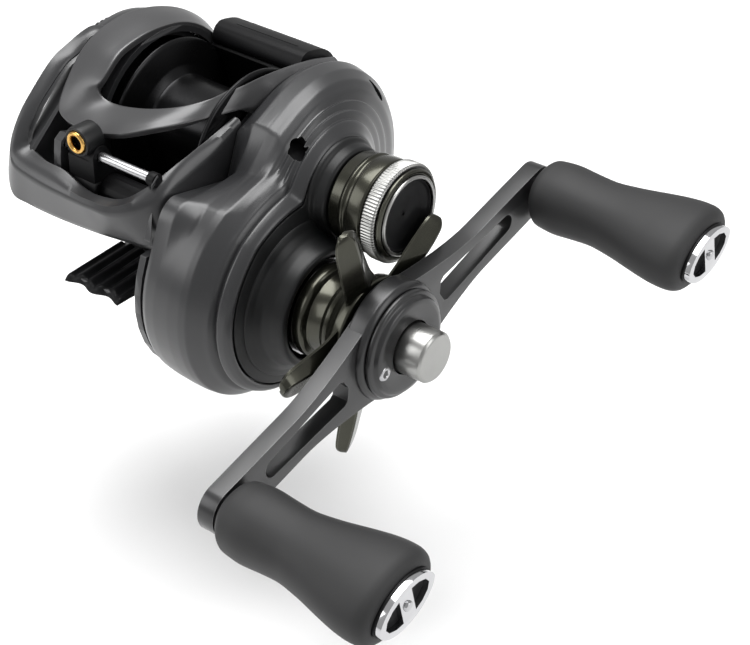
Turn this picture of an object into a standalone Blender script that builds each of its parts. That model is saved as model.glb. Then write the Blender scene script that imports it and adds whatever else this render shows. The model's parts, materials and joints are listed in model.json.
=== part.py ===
"""Low-profile baitcasting reel, left-hand retrieve.

Lengths below are millimetres; MM turns them into metres when a mesh is made.
+X points to the handle side, -Y to the line exit, +Z up. The origin is on the
underside of the reel foot, straight below the middle of the spool.
"""
import math

import bmesh
import bpy
import numpy as np
from mathutils import Matrix, Vector

MM = 0.001
TAU = 2 * math.pi

# Axes that run along X, as (Y, Z)
SPOOL_AXIS = (0.0, 18.6)
DRIVE_AXIS = (-12.5, 1.7)
WORM_AXIS = (-23.6, 16.2)
ROD_AXIS = (-25.6, 24.0)

# Spool
SPOOL_R = 16.2
SPOOL_HALF = 10.7
ARBOR_R = 9.6

# Level wind
WORM_GUARD_R = (2.6, 3.3)

# Gear train
DRIVE_TEETH, PINION_TEETH = 71, 10
LEVEL_TEETH, IDLER_TEETH, WORM_TEETH = 36, 14, 12

# Side walls, as X
GEAR_PLATE = (11.0, 12.4)
PALM_PLATE = (-13.4, -11.6)
CASE_MOUTH = 13.3
CASE_WALL = 1.4

# Foot
FOOT_HALF_WIDTH = 6.5
FOOT_FRONT, FOOT_REAR = -32.5, 29.0
FOOT_TIP = 1.3

# Handle
CRANK_R = 45.0
CRANK_ANGLE = math.radians(13.8)
ARM_X = (50.3, 53.7)
KNOB_X = (54.6, 88.6)
STAR_ARMS = 5
STAR_R = 24.0
STAR_ANGLE = math.radians(36.0)

# Line guide: X of the eye, its height, and its ring bore
GUIDE_X = -6.4
EYE_Z = 26.9
EYE_R = 1.35

# Thumb bar
THUMB_DIRECTION = (0.62, -0.785)

# Case outline: X, drum radius, hump centre (Y, Z), hump radius, worm bulge radius, notch depth
CASE_STATIONS = (
    (13.3, 21.4, (9.0, 12.0), 20.3, 5.6, 1.0),
    (14.2, 21.6, (9.0, 12.0), 21.0, 5.6, 1.0),
    (16.5, 22.0, (9.0, 12.0), 22.4, 5.6, 0.25),
    (20.0, 22.2, (8.0, 12.5), 21.4, 4.4, 0.0),
    (23.0, 22.0, (6.0, 14.0), 18.8, 2.8, 0.0),
    (25.4, 21.3, (4.0, 15.5), 15.6, 2.2, 0.0),
    (27.6, 20.6, (2.0, 17.0), 12.8, 2.0, 0.0),
    (29.3, 19.9, (0.4, 18.3), 10.9, 2.0, 0.0),
)
CASE_CENTRE = (-6.0, 8.0)


# ---------------------------------------------------------------- scene set-up

def clear_scene():
    for old in list(bpy.data.objects):
        bpy.data.objects.remove(old, do_unlink=True)


def make_collection(name):
    collection = bpy.data.collections.new(name)
    bpy.context.scene.collection.children.link(collection)
    return collection


def material(name, colour, roughness, metallic):
    made = bpy.data.materials.new(name)
    made.use_nodes = True
    shader = made.node_tree.nodes["Principled BSDF"]
    shader.inputs["Base Color"].default_value = (*colour, 1.0)
    shader.inputs["Roughness"].default_value = roughness
    shader.inputs["Metallic"].default_value = metallic
    return made


clear_scene()
PARTS = make_collection("baitcasting_reel")
CUTTERS = make_collection("cutters")

GRAPHITE = material("graphite_paint", (0.045, 0.046, 0.050), 0.42, 0.6)
HOOD_GREY = material("hood_paint", (0.075, 0.076, 0.080), 0.38, 0.6)
BLACK = material("black_coat", (0.012, 0.012, 0.013), 0.55, 0.2)
OLIVE = material("olive_gunmetal", (0.075, 0.078, 0.055), 0.25, 0.9)
SILVER = material("bright_aluminium", (0.72, 0.72, 0.70), 0.28, 1.0)
STEEL = material("steel", (0.55, 0.55, 0.56), 0.25, 1.0)
BRASS = material("brass", (0.62, 0.44, 0.16), 0.35, 1.0)
CARBON = material("carbon_washer", (0.03, 0.03, 0.03), 0.7, 0.0)
RUBBER = material("knob_rubber", (0.035, 0.035, 0.036), 0.75, 0.0)
CHROME = material("chrome", (0.85, 0.85, 0.86), 0.08, 1.0)
NYLON = material("black_nylon", (0.015, 0.015, 0.016), 0.5, 0.0)
GOLD = material("gold_ring", (0.80, 0.55, 0.20), 0.22, 1.0)


# ---------------------------------------------------------------- mesh helpers

def add_object(name, mesh, finish, collection=PARTS):
    made = bpy.data.objects.new(name, mesh)
    collection.objects.link(made)
    if finish:
        mesh.materials.clear()
        mesh.materials.append(finish)
    else:
        made.hide_render = True
        made.display_type = "WIRE"
    return made


def cut_or_join(target, other, operation="DIFFERENCE", solver="EXACT"):
    step = target.modifiers.new(operation.lower(), "BOOLEAN")
    step.object = other
    step.operation = operation
    step.solver = solver


def helper_collection(finish):
    return PARTS if finish else CUTTERS


def turned(name, finish, axis, outer, inner=None, steps=20):
    """Solid of revolution about an axis along X; outer and inner are (x, radius) runs, low x first.

    An inner run that ends at radius 0 is a blind bore.
    """
    run = [(r, x) for x, r in reversed(outer)]
    through = bool(inner) and inner[-1][1] > 0
    run += [(r, x) for x, r in inner or [(outer[0][0], 0.0)]]
    if not through:
        run.insert(0, (0.0, outer[-1][0]))
    mesh = bpy.data.meshes.new(name)
    edges = [(i, i + 1) for i in range(len(run) - 1)]
    if through:
        edges.append((len(run) - 1, 0))
    mesh.from_pydata([(r * MM, 0.0, x * MM) for r, x in run], edges, [])
    made = add_object(name, mesh, finish, helper_collection(finish))
    screw = made.modifiers.new("turn", "SCREW")
    screw.steps = steps
    screw.render_steps = steps
    screw.use_merge_vertices = True
    screw.merge_threshold = 0.00001
    screw.use_smooth_shade = False
    made.rotation_euler = (0.0, math.radians(90), 0.0)
    made.location = (0.0, axis[0] * MM, axis[1] * MM)
    return made


def ball_bearing(name, axis, x0, x1, outer_r, bore_r):
    return turned(name, STEEL, axis, [(x0, outer_r), (x1, outer_r)], [(x0, bore_r), (x1, bore_r)])


def cylinder(name, finish, axis, x0, x1, radius, steps=20):
    mesh = bpy.data.meshes.new(name)
    bm = bmesh.new()
    bmesh.ops.create_cone(bm, cap_ends=True, segments=steps, radius1=radius * MM,
                          radius2=radius * MM, depth=(x1 - x0) * MM)
    bm.to_mesh(mesh)
    bm.free()
    made = add_object(name, mesh, finish, helper_collection(finish))
    made.rotation_euler = (0.0, math.radians(90), 0.0)
    made.location = ((x0 + x1) / 2 * MM, axis[0] * MM, axis[1] * MM)
    return made


def box(name, finish, low, high, turn=None):
    mesh = bpy.data.meshes.new(name)
    bm = bmesh.new()
    bmesh.ops.create_cube(bm, size=1.0)
    size = [(b - a) * MM for a, b in zip(low, high)]
    bmesh.ops.scale(bm, vec=size, verts=bm.verts)
    bm.to_mesh(mesh)
    bm.free()
    made = add_object(name, mesh, finish, helper_collection(finish))
    made.location = [(a + b) / 2 * MM for a, b in zip(low, high)]
    if turn:
        made.rotation_euler = turn
    return made


def mesh_from_curve(drawn):
    """Closed mesh of a curve object, caps welded; the curve object is removed."""
    view = bpy.context.evaluated_depsgraph_get()
    mesh = bpy.data.meshes.new_from_object(drawn.evaluated_get(view))
    bpy.data.objects.remove(drawn, do_unlink=True)
    bm = bmesh.new()
    bm.from_mesh(mesh)
    bmesh.ops.remove_doubles(bm, verts=bm.verts, dist=0.000001)
    bmesh.ops.recalc_face_normals(bm, faces=bm.faces)
    bm.to_mesh(mesh)
    bm.free()
    return mesh


def plate(name, finish, loops, x0, x1, origin=(0.0, 0.0)):
    """Flat piece from closed (Y, Z) loops, the first outside and the rest holes, between x0 and x1."""
    curve = bpy.data.curves.new(name, "CURVE")
    curve.dimensions = "2D"
    curve.fill_mode = "BOTH"
    curve.extrude = (x1 - x0) / 2 * MM
    for loop in loops:
        spline = curve.splines.new("POLY")
        spline.points.add(len(loop) - 1)
        spline.use_cyclic_u = True
        for point, (y, z) in zip(spline.points, loop):
            point.co = ((y - origin[0]) * MM, (z - origin[1]) * MM, 0.0, 1.0)
    drawn = bpy.data.objects.new(name + "_outline", curve)
    CUTTERS.objects.link(drawn)
    mesh = mesh_from_curve(drawn)
    mesh.name = name
    made = add_object(name, mesh, finish, helper_collection(finish))
    across = Matrix(((0, 0, 1), (1, 0, 0), (0, 1, 0))).to_4x4()
    place = Matrix.Translation(((x0 + x1) / 2 * MM, origin[0] * MM, origin[1] * MM))
    made.matrix_world = place @ across
    return made


def loft(name, finish, rings, origin=(0.0, 0.0, 0.0)):
    """Closed skin through rings of points, all with the same count, capped at both ends."""
    base = Vector(origin)
    bm = bmesh.new()
    rows = [[bm.verts.new((Vector(p) - base) * MM) for p in ring] for ring in rings]
    count = len(rows[0])
    for low, high in zip(rows, rows[1:]):
        for i in range(count):
            j = (i + 1) % count
            bm.faces.new((low[i], low[j], high[j], high[i]))
    bm.faces.new(list(reversed(rows[0])))
    bm.faces.new(rows[-1])
    bmesh.ops.recalc_face_normals(bm, faces=bm.faces)
    mesh = bpy.data.meshes.new(name)
    bm.to_mesh(mesh)
    bm.free()
    made = add_object(name, mesh, finish, helper_collection(finish))
    made.location = base * MM
    return made


# ------------------------------------------------------------- outline helpers

def on_circle(centre, radius, angle):
    return (centre[0] + radius * math.cos(angle), centre[1] + radius * math.sin(angle))


def circle(centre, radius, count=32):
    return [on_circle(centre, radius, TAU * i / count) for i in range(count)]


def hull_reach(discs, centre, angles):
    """Distance from centre to the convex hull of discs ((y, z), radius), along each angle."""
    normals = np.linspace(0.0, TAU, 361)[:-1]
    out = np.stack([np.cos(normals), np.sin(normals)])
    support = np.max([c[0] * out[0] + c[1] * out[1] + r for c, r in discs], axis=0)
    support = support - centre[0] * out[0] - centre[1] * out[1]
    facing = np.cos(np.asarray(angles)[:, None] - normals[None, :])
    reach = np.where(facing > 0.02, support[None, :] / np.maximum(facing, 0.02), 1e6)
    return reach.min(axis=1)


def line_reach(point, normal, centre, angles):
    """Distance from centre, along each angle, to the line through point with outward normal."""
    facing = np.cos(angles) * normal[0] + np.sin(angles) * normal[1]
    offset = (point[0] - centre[0]) * normal[0] + (point[1] - centre[1]) * normal[1]
    return np.where(facing > 0.02, offset / np.maximum(facing, 0.02), 1e6)


def polar(centre, angles, reach):
    return [(centre[0] + r * math.cos(a), centre[1] + r * math.sin(a)) for a, r in zip(angles, reach)]


def hull_outline(discs, count=48):
    centre = np.mean([c for c, r in discs], axis=0)
    angles = np.linspace(0.0, TAU, count + 1)[:-1]
    return polar(centre, angles, hull_reach(discs, centre, angles))


def gear_outline(centre, teeth, module, gap_towards, width=0.40, reach=0.8, depth=1.15):
    """Toothed outline with a tooth gap centred on the direction gap_towards."""
    pitch_r = teeth * module / 2
    pitch = TAU / teeth
    root, tip = pitch_r - depth * module, pitch_r + reach * module
    points = []
    for tooth in range(teeth):
        middle = gap_towards + pitch * (tooth + 0.5)
        for radius, half in ((root, -0.62 * width), (tip, -0.26 * width),
                             (tip, 0.26 * width), (root, 0.62 * width)):
            points.append(on_circle(centre, radius, middle + half * pitch))
    return points


def towards(a, b):
    return math.atan2(b[1] - a[1], b[0] - a[0])


def distance(a, b):
    return math.hypot(b[0] - a[0], b[1] - a[1])


def case_reach(x, angles, inset=0.0):
    """Radius of the gear-side case outline about CASE_CENTRE at position x."""
    table = CASE_STATIONS
    xs = [row[0] for row in table]
    drum = np.interp(x, xs, [row[1] for row in table])
    hump = (np.interp(x, xs, [row[2][0] for row in table]), np.interp(x, xs, [row[2][1] for row in table]))
    hump_r = np.interp(x, xs, [row[3] for row in table])
    bulge = np.interp(x, xs, [row[4] for row in table])
    notch = np.interp(x, xs, [row[5] for row in table])
    discs = ((DRIVE_AXIS, drum), (hump, hump_r), (WORM_AXIS, bulge))
    full = hull_reach(discs, CASE_CENTRE, angles)
    front = hull_reach((discs[0], discs[2]), CASE_CENTRE, angles)
    front = np.minimum(front, line_reach((-10.5, 18.6), (0.210, 0.978), CASE_CENTRE, angles))
    rear = hull_reach(discs[:2], CASE_CENTRE, angles)
    rear = np.minimum(rear, line_reach((-10.5, 18.6), (-0.934, 0.356), CASE_CENTRE, angles))
    notched = np.maximum(front, rear)
    return full * (1 - notch) + notched * notch - inset


# ------------------------------------------------------------------ fixed body

def foot_ring(y):
    """Cross-section of the foot at y: flat below, crowned above."""
    ends = min(y - FOOT_FRONT, FOOT_REAR - y)
    half = FOOT_HALF_WIDTH - 1.6 * max(0.0, 1 - ends / 2.5) ** 2
    height = FOOT_TIP + 0.9 * min(1.0, ends / 22.0)
    return [(-half, y, 0.0), (half, y, 0.0), (half, y, 0.6 * height), (0.72 * half, y, height),
            (-0.72 * half, y, height), (-half, y, 0.6 * height)]


def make_frame():
    """One-piece frame: gear-side wall, palm-side ring, floor, foot and bearing seats."""
    angles = np.linspace(0.0, TAU, 49)[:-1]
    top = np.exp(-((np.degrees(angles) - 82.0) / 40.0) ** 4)
    wall = polar(CASE_CENTRE, angles, case_reach(CASE_MOUTH, angles, 0.3) - 1.7 * top)
    frame = plate("frame", GRAPHITE, [wall], *GEAR_PLATE)
    cheek = [(-27.6, 15.0), (-27.6, 24.2), (-25.4, 26.0), (-8.2, 27.4), (-6.0, 20.0), (-12.0, 12.0)]
    inside = plate("frame_cheek", None, [cheek], GEAR_PLATE[0] + 0.05, GEAR_PLATE[1] - 0.05)
    cut_or_join(frame, inside, "UNION")

    ring = [circle(SPOOL_AXIS, 18.1, 40), circle(SPOOL_AXIS, 16.9, 40)]
    cut_or_join(frame, plate("frame_ring", None, ring, *PALM_PLATE), "UNION")
    arm = hull_outline((((-17.0, 12.5), 1.6), ((-16.2, 20.0), 1.6), (WORM_AXIS, 4.6), (ROD_AXIS, 1.8)), 32)
    inside = plate("frame_ring_arm", None, [arm], PALM_PLATE[0] + 0.05, PALM_PLATE[1] - 0.05)
    cut_or_join(frame, inside, "UNION")

    inner = [on_circle(SPOOL_AXIS, SPOOL_R + 1.1, math.radians(a)) for a in range(342, 202, -12)]
    under = [(-18.4, 10.9), (-21.4, 11.2), (-21.8, 8.6), (-15.6, 2.4), (-9.0, 0.4), (8.0, 0.4),
             (14.5, 3.2), (18.4, 8.6), (18.6, 13.2)]
    floor = plate("frame_floor", None, [inner + under], PALM_PLATE[0] + 0.6, GEAR_PLATE[1] - 0.6)
    cut_or_join(frame, floor, "UNION")
    rows = [FOOT_FRONT + (FOOT_REAR - FOOT_FRONT) * t for t in (0, 0.015, 0.04, 0.36, 0.64, 0.96, 0.985, 1)]
    cut_or_join(frame, loft("frame_foot", None, [foot_ring(y) for y in rows]), "UNION")
    cut_or_join(frame, cylinder("frame_boss", None, DRIVE_AXIS, 12.0, 14.0, 5.6), "UNION")

    for label, axis, start, radius in (("spool", SPOOL_AXIS, 10.0, 4.3), ("drive", DRIVE_AXIS, 10.0, 4.2),
                                       ("worm", WORM_AXIS, -14.0, 1.6), ("rod", ROD_AXIS, -14.0, 1.1)):
        cut_or_join(frame, cylinder("cut_" + label, None, axis, start, 15.0, radius, 16))
    slope = math.atan2(THUMB_DIRECTION[1], THUMB_DIRECTION[0])
    slot = box("cut_thumb_slot", None, (10.0, 13.55, 24.9), (13.5, 21.25, 26.8), (slope, 0, 0))
    cut_or_join(frame, slot)
    return frame


def case_rings(inset, stations, count=44):
    angles = np.linspace(0.0, TAU, count + 1)[:-1]
    return [[(x, y, z) for y, z in polar(CASE_CENTRE, angles, case_reach(at, angles, inset))]
            for x, at in stations]


def make_gear_side_case():
    """Hollow casing over the gear train, open towards the frame."""
    case = loft("gear_side_case", GRAPHITE, case_rings(0.0, [(row[0], row[0]) for row in CASE_STATIONS]))
    hollow = [(12.6, 13.3), (14.2, 14.2), (16.5, 16.5), (20.0, 20.0), (23.0, 23.0), (25.4, 25.4),
              (27.8, 27.6)]
    cut_or_join(case, loft("cut_case", None, case_rings(CASE_WALL, hollow, 32)))
    cut_or_join(case, cylinder("cut_case_drive", None, DRIVE_AXIS, 26.0, 31.0, 10.0, 24))
    cut_or_join(case, cylinder("cut_case_spool", None, SPOOL_AXIS, 26.0, 31.0, 4.6, 16))
    return case


def make_gear_cover():
    """Black cover plate with the roller-clutch housing and the threaded tension boss."""
    outline = hull_outline(((DRIVE_AXIS, 18.1), (SPOOL_AXIS, 9.2)), 44)
    cover = plate("gear_cover", BLACK, [outline], 29.6, 31.8)
    housing = turned("cover_housing", None, DRIVE_AXIS, [(30.0, 11.6), (37.2, 11.6), (37.8, 11.2)], steps=28)
    boss = turned("cover_boss", None, SPOOL_AXIS, [(30.0, 8.4), (34.5, 8.4), (34.6, 5.0), (38.6, 5.0)])
    cut_or_join(cover, housing, "UNION")
    cut_or_join(cover, boss, "UNION")
    cut_or_join(cover, cylinder("cut_cover_drive", None, DRIVE_AXIS, 29.0, 39.0, 9.5, 28))
    cut_or_join(cover, cylinder("cut_cover_spool", None, SPOOL_AXIS, 29.0, 39.0, 2.6, 12))
    return cover


def nose_section(x):
    """Curved strip in the YZ plane that forms the chin at position x."""
    across = (x + 4.0) / 17.0
    front = -32.4 + 4.6 * abs(across) ** 2.6
    lip = 20.6 + 1.6 * across ** 2
    outer = [(-22.2, 8.4), (front + 1.4, 10.4), (front, 13.0), (front + 0.2, 17.0),
             (front + 1.6, lip)]
    inner = [(front + 2.4, lip - 0.6), (front + 1.8, 17.0), (front + 1.7, 13.6), (front + 2.6, 11.2),
             (-22.2, 9.9)]
    return [(x, y, z) for y, z in outer + inner]


def make_nose_cover():
    """Chin in front of the level wind, with a cheek that meets the gear-side case."""
    stations = [-19.0, -17.0, -14.0, -9.0, -4.0, 1.0, 5.0, 8.5, 10.7]
    nose = loft("nose_cover", GRAPHITE, [nose_section(x) for x in stations])
    seam = [(-29.4, 23.1), (-29.2, 24.6), (-25.6, 26.6), (-7.9, 28.0), (-11.1, 19.2)]
    cut_or_join(nose, plate("nose_cheek", None, [seam], 12.65, 13.9), "UNION")
    bridge = [(-29.6, 19.6), (-29.4, 24.5), (-27.9, 25.2), (-27.9, 19.6)]
    cut_or_join(nose, plate("nose_bridge", None, [bridge], 9.6, 10.9), "UNION")
    bridge_top = [(-29.38, 23.2), (-29.25, 24.4), (-27.9, 24.9), (-27.9, 23.0)]
    cut_or_join(nose, plate("nose_bridge_top", None, [bridge_top], 10.0, 13.8), "UNION")
    return nose


def on_spool_ring(x, radius, degrees):
    angle = math.radians(degrees)
    return (x, SPOOL_AXIS[0] + radius * math.cos(angle), SPOOL_AXIS[1] + radius * math.sin(angle))


# Hood edges, from the gear-side arm round the front to the palm-side arch: outer edge, inner edge
HOOD_ARM = (
    ((12.9, 16.5, 30.9), (11.2, 16.5, 32.6)),
    ((12.9, 9.0, 32.2), (11.2, 9.0, 34.6)),
    ((12.9, 1.0, 31.0), (11.2, 1.0, 35.2)),
    ((12.8, -5.0, 29.8), (11.1, -4.6, 35.0)),
    ((12.6, -10.2, 31.0), (9.9, -8.8, 35.2)),
    ((9.9, -14.4, 30.4), (6.6, -10.6, 33.8)),
    ((4.4, -18.8, 28.6), (2.8, -13.2, 31.6)),
    ((-2.0, -22.0, 26.9), (-2.6, -14.8, 30.0)),
    ((-9.0, -23.2, 26.2), (-7.6, -15.4, 29.4)),
    ((-15.5, -22.4, 26.9), (-11.8, -15.9, 30.5)),
    ((-19.1, -19.6, 29.4), (-13.2, -14.6, 32.4)),
)
HOOD_PLUMB = 4
HOOD_THICK = 1.2
# Arch: X of the outer edge, radius, degrees about the spool axis
HOOD_ARCH = ((-20.0, 21.0, 138), (-20.2, 20.7, 122), (-19.8, 20.4, 106), (-19.2, 20.3, 90), (-18.4, 20.3, 72),
             (-17.6, 20.6, 54), (-16.8, 21.0, 36), (-16.0, 20.9, 18), (-15.2, 20.4, 0))
HOOD_INNER_X = -11.9
HOOD_INNER_R = 19.7


def make_hood():
    """Loop over the spool: arm, front band and palm-side arch, as one curved strip."""
    edges = list(HOOD_ARM)
    edges += [(on_spool_ring(x, r, a), on_spool_ring(HOOD_INNER_X, HOOD_INNER_R, a)) for x, r, a in HOOD_ARCH]
    outer = [Vector(o) for o, i in edges]
    inner = [Vector(i) for o, i in edges]
    rings = []
    for k, (o, i) in enumerate(zip(outer, inner)):
        ahead, behind = min(k + 1, len(edges) - 1), max(k - 1, 0)
        along = (outer[ahead] + inner[ahead]) - (outer[behind] + inner[behind])
        across = i - o
        up = along.cross(across).normalized()
        if up.dot(((o + i) / 2) - Vector((-2.0, 0.0, 16.0))) < 0:
            up = -up
        thick = HOOD_THICK * (Vector((0.0, 0.0, 1.0)) if k < HOOD_PLUMB else up)
        rim = 0.12 * across
        rings.append([o - 0.3 * thick, o + rim, i - rim, i - 0.3 * thick, i - thick, o - thick])
    return loft("hood", HOOD_GREY, rings)


# ------------------------------------------------------------------- palm side

def make_palm_side_case():
    """Fixed palm-side ring with a forward lobe that meets the chin."""
    rows = ((-13.7, 18.1, (-12.0, 15.0), 4.0), (-18.6, 18.1, (-12.0, 15.0), 4.0),
            (-19.4, 18.6, (-24.3, 15.3), 5.6), (-22.6, 18.5, (-23.8, 15.3), 5.2),
            (-24.0, 18.0, (-22.4, 15.3), 4.4))
    angles = np.linspace(0.0, TAU, 41)[:-1]
    rings = []
    for x, radius, lobe, lobe_r in rows:
        reach = hull_reach(((SPOOL_AXIS, radius), (lobe, lobe_r)), SPOOL_AXIS, angles)
        rings.append([(x, y, z) for y, z in polar(SPOOL_AXIS, angles, reach)])
    case = loft("palm_side_case", GRAPHITE, rings)
    cut_or_join(case, cylinder("cut_palm_case", None, SPOOL_AXIS, -26.0, -12.0, 17.1, 36))
    return case


def make_palm_plate_pieces():
    """Side plate that carries the brake and the palm-side spool bearing."""
    turned("side_plate", GRAPHITE, SPOOL_AXIS,
           [(-28.9, 11.6), (-28.3, 12.9), (-27.6, 13.4), (-24.4, 14.6), (-24.2, 16.7), (-14.0, 16.7)],
           [(-29.2, 6.8), (-28.6, 6.4), (-26.8, 6.4), (-26.8, 5.2), (-26.6, 3.6), (-19.0, 3.6), (-19.0, 2.2),
            (-18.0, 2.2), (-18.0, 4.2), (-15.2, 4.2), (-15.2, 5.4), (-25.8, 5.6), (-26.6, 12.0), (-24.0, 13.4),
            (-23.0, 15.2), (-14.0, 15.4)],
           steps=30)
    turned("lock_ring", GRAPHITE, SPOOL_AXIS, [(-27.2, 15.5), (-26.9, 15.9), (-24.8, 16.5), (-24.4, 16.2)],
           [(-27.2, 14.8), (-24.4, 14.8)], steps=36)
    dial = turned("brake_dial", BLACK, SPOOL_AXIS,
                  [(-30.0, 5.4), (-29.4, 6.1), (-27.1, 6.1)])
    grip = box("dial_grip", None, (-31.2, -1.2, SPOOL_AXIS[1] - 5.0), (-29.5, 1.2, SPOOL_AXIS[1] + 5.0))
    cut_or_join(dial, grip, "UNION")
    turned("brake_drum", BRASS, SPOOL_AXIS, [(-15.0, 7.4), (-9.4, 7.4)],
           [(-15.0, 5.6), (-14.2, 5.6), (-14.1, 6.8), (-9.4, 6.8)])
    ball_bearing("palm_bearing", SPOOL_AXIS, -17.8, -15.3, 4.05, 1.65)


# ----------------------------------------------------------------------- spool

def make_spool_pieces():
    turned("spool", BLACK, SPOOL_AXIS,
           [(-SPOOL_HALF, 15.6), (-10.5, SPOOL_R), (-9.9, SPOOL_R), (-8.4, ARBOR_R + 1.6), (-7.6, ARBOR_R),
            (7.6, ARBOR_R), (8.4, ARBOR_R + 1.6), (9.9, SPOOL_R), (10.5, SPOOL_R), (SPOOL_HALF, 15.6)],
           [(-SPOOL_HALF, 8.6), (-4.6, 8.2), (-3.4, 1.7), (5.2, 1.7), (5.6, 8.2), (SPOOL_HALF, 8.8)],
           steps=32)
    turned("spool_shaft", STEEL, SPOOL_AXIS,
           [(-17.6, 1.2), (-17.3, 1.5), (12.6, 1.5), (12.7, 1.1), (35.4, 1.1), (35.7, 0.8)], steps=16)
    hub = turned("brake_hub", NYLON, SPOOL_AXIS, [(-12.9, 3.4), (-10.6, 3.4)], [(-12.9, 1.65), (-10.6, 1.65)])
    for k in range(3):
        arm = box("brake_arm_%d" % k, None, (-12.6, 2.4, -1.3), (-10.9, 6.2, 1.3))
        arm.rotation_euler = (TAU * k / 3, 0, 0)
        turn = Matrix.Rotation(TAU * k / 3, 4, "X")
        arm.location = turn @ Vector((-11.75 * MM, 4.3 * MM, 0)) + Vector((0, 0, SPOOL_AXIS[1] * MM))
        cut_or_join(hub, arm, "UNION")
    ball_bearing("gear_side_bearing", SPOOL_AXIS, 11.1, 12.8, 4.1, 1.65)


# ------------------------------------------------------------------ gear train

def toothed(name, finish, axis, teeth, module, gap_towards, x0, x1, bore):
    outline = gear_outline(axis, teeth, module, gap_towards)
    return plate(name, finish, [outline, circle(axis, bore, 24)], x0, x1, axis)


def make_drive_train():
    module = distance(DRIVE_AXIS, SPOOL_AXIS) * 2 / (DRIVE_TEETH + PINION_TEETH)
    to_spool = towards(DRIVE_AXIS, SPOOL_AXIS)
    gear = toothed("drive_gear", BRASS, DRIVE_AXIS, DRIVE_TEETH, module, to_spool, 18.0, 20.6, 3.15)
    cut_or_join(gear, cylinder("cut_drag_recess", None, DRIVE_AXIS, 19.4, 22.0, 15.2, 24))

    half_tooth = math.pi / PINION_TEETH
    outline = gear_outline(SPOOL_AXIS, PINION_TEETH, module, to_spool + math.pi + half_tooth)
    pinion = plate("pinion_gear", BRASS, [outline], 16.6, 21.3, SPOOL_AXIS)
    core = turned("pinion_core", None, SPOOL_AXIS,
                  [(14.3, 3.4), (15.8, 3.4), (15.9, 1.9), (22.7, 1.9), (22.8, 3.0), (23.7, 3.0), (23.8, 1.9),
                   (27.2, 1.9)])
    cut_or_join(pinion, core, "UNION")
    cut_or_join(pinion, cylinder("cut_pinion", None, SPOOL_AXIS, 13.0, 29.0, 1.3, 16))

    level_module = 2 * distance(DRIVE_AXIS, WORM_AXIS) / (LEVEL_TEETH + 2 * IDLER_TEETH + WORM_TEETH)
    to_worm = towards(DRIVE_AXIS, WORM_AXIS)
    step = (LEVEL_TEETH + IDLER_TEETH) * level_module / 2
    idler_axis = on_circle(DRIVE_AXIS, step, to_worm)
    idler_tooth = math.pi / IDLER_TEETH
    toothed("level_drive_gear", NYLON, DRIVE_AXIS, LEVEL_TEETH, level_module, to_worm, 14.9, 16.3, 3.15)
    toothed("idler_gear", NYLON, idler_axis, IDLER_TEETH, level_module, to_worm + math.pi + idler_tooth,
            14.9, 16.3, 1.25)
    toothed("worm_gear", NYLON, WORM_AXIS, WORM_TEETH, level_module, to_worm + math.pi, 14.9, 16.3, 1.35)
    turned("idler_stud", STEEL, idler_axis, [(12.6, 1.8), (14.6, 1.8), (14.7, 1.1), (16.8, 1.1)], steps=16)

    teeth = 12
    ratchet = []
    for k in range(teeth):
        angle = TAU * k / teeth
        for radius, shift in ((6.8, 0.0), (8.2, 0.05 * TAU / teeth), (8.2, 0.3 * TAU / teeth)):
            ratchet.append(on_circle(DRIVE_AXIS, radius, angle + shift))
    plate("ratchet", STEEL, [ratchet, circle(DRIVE_AXIS, 3.15, 24)], 16.6, 17.5, DRIVE_AXIS)


def make_drive_shaft_pieces():
    turned("drive_shaft", STEEL, DRIVE_AXIS,
           [(12.1, 2.2), (14.2, 2.2), (14.3, 2.95), (37.4, 2.95), (37.5, 2.5), (60.0, 2.5)], steps=20)
    ball_bearing("shaft_bearing", DRIVE_AXIS, 12.2, 13.8, 4.0, 2.35)
    turned("drag_washer", CARBON, DRIVE_AXIS, [(19.55, 14.8), (20.3, 14.8)], [(19.55, 3.3), (20.3, 3.3)])
    turned("pressure_plate", STEEL, DRIVE_AXIS, [(20.45, 14.4), (21.6, 14.4)], [(20.45, 3.3), (21.6, 3.3)])
    turned("drag_spring_washer", STEEL, DRIVE_AXIS, [(22.0, 7.2), (22.5, 7.2), (24.0, 3.9)],
           [(22.0, 6.9), (23.4, 3.2), (24.0, 3.2)], steps=20)
    turned("clutch_sleeve", STEEL, DRIVE_AXIS, [(24.3, 4.5), (36.9, 4.5)], [(24.3, 3.15), (36.9, 3.15)])
    turned("roller_clutch", STEEL, DRIVE_AXIS, [(30.0, 9.3), (36.5, 9.3)], [(30.0, 4.7), (36.5, 4.7)])


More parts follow.
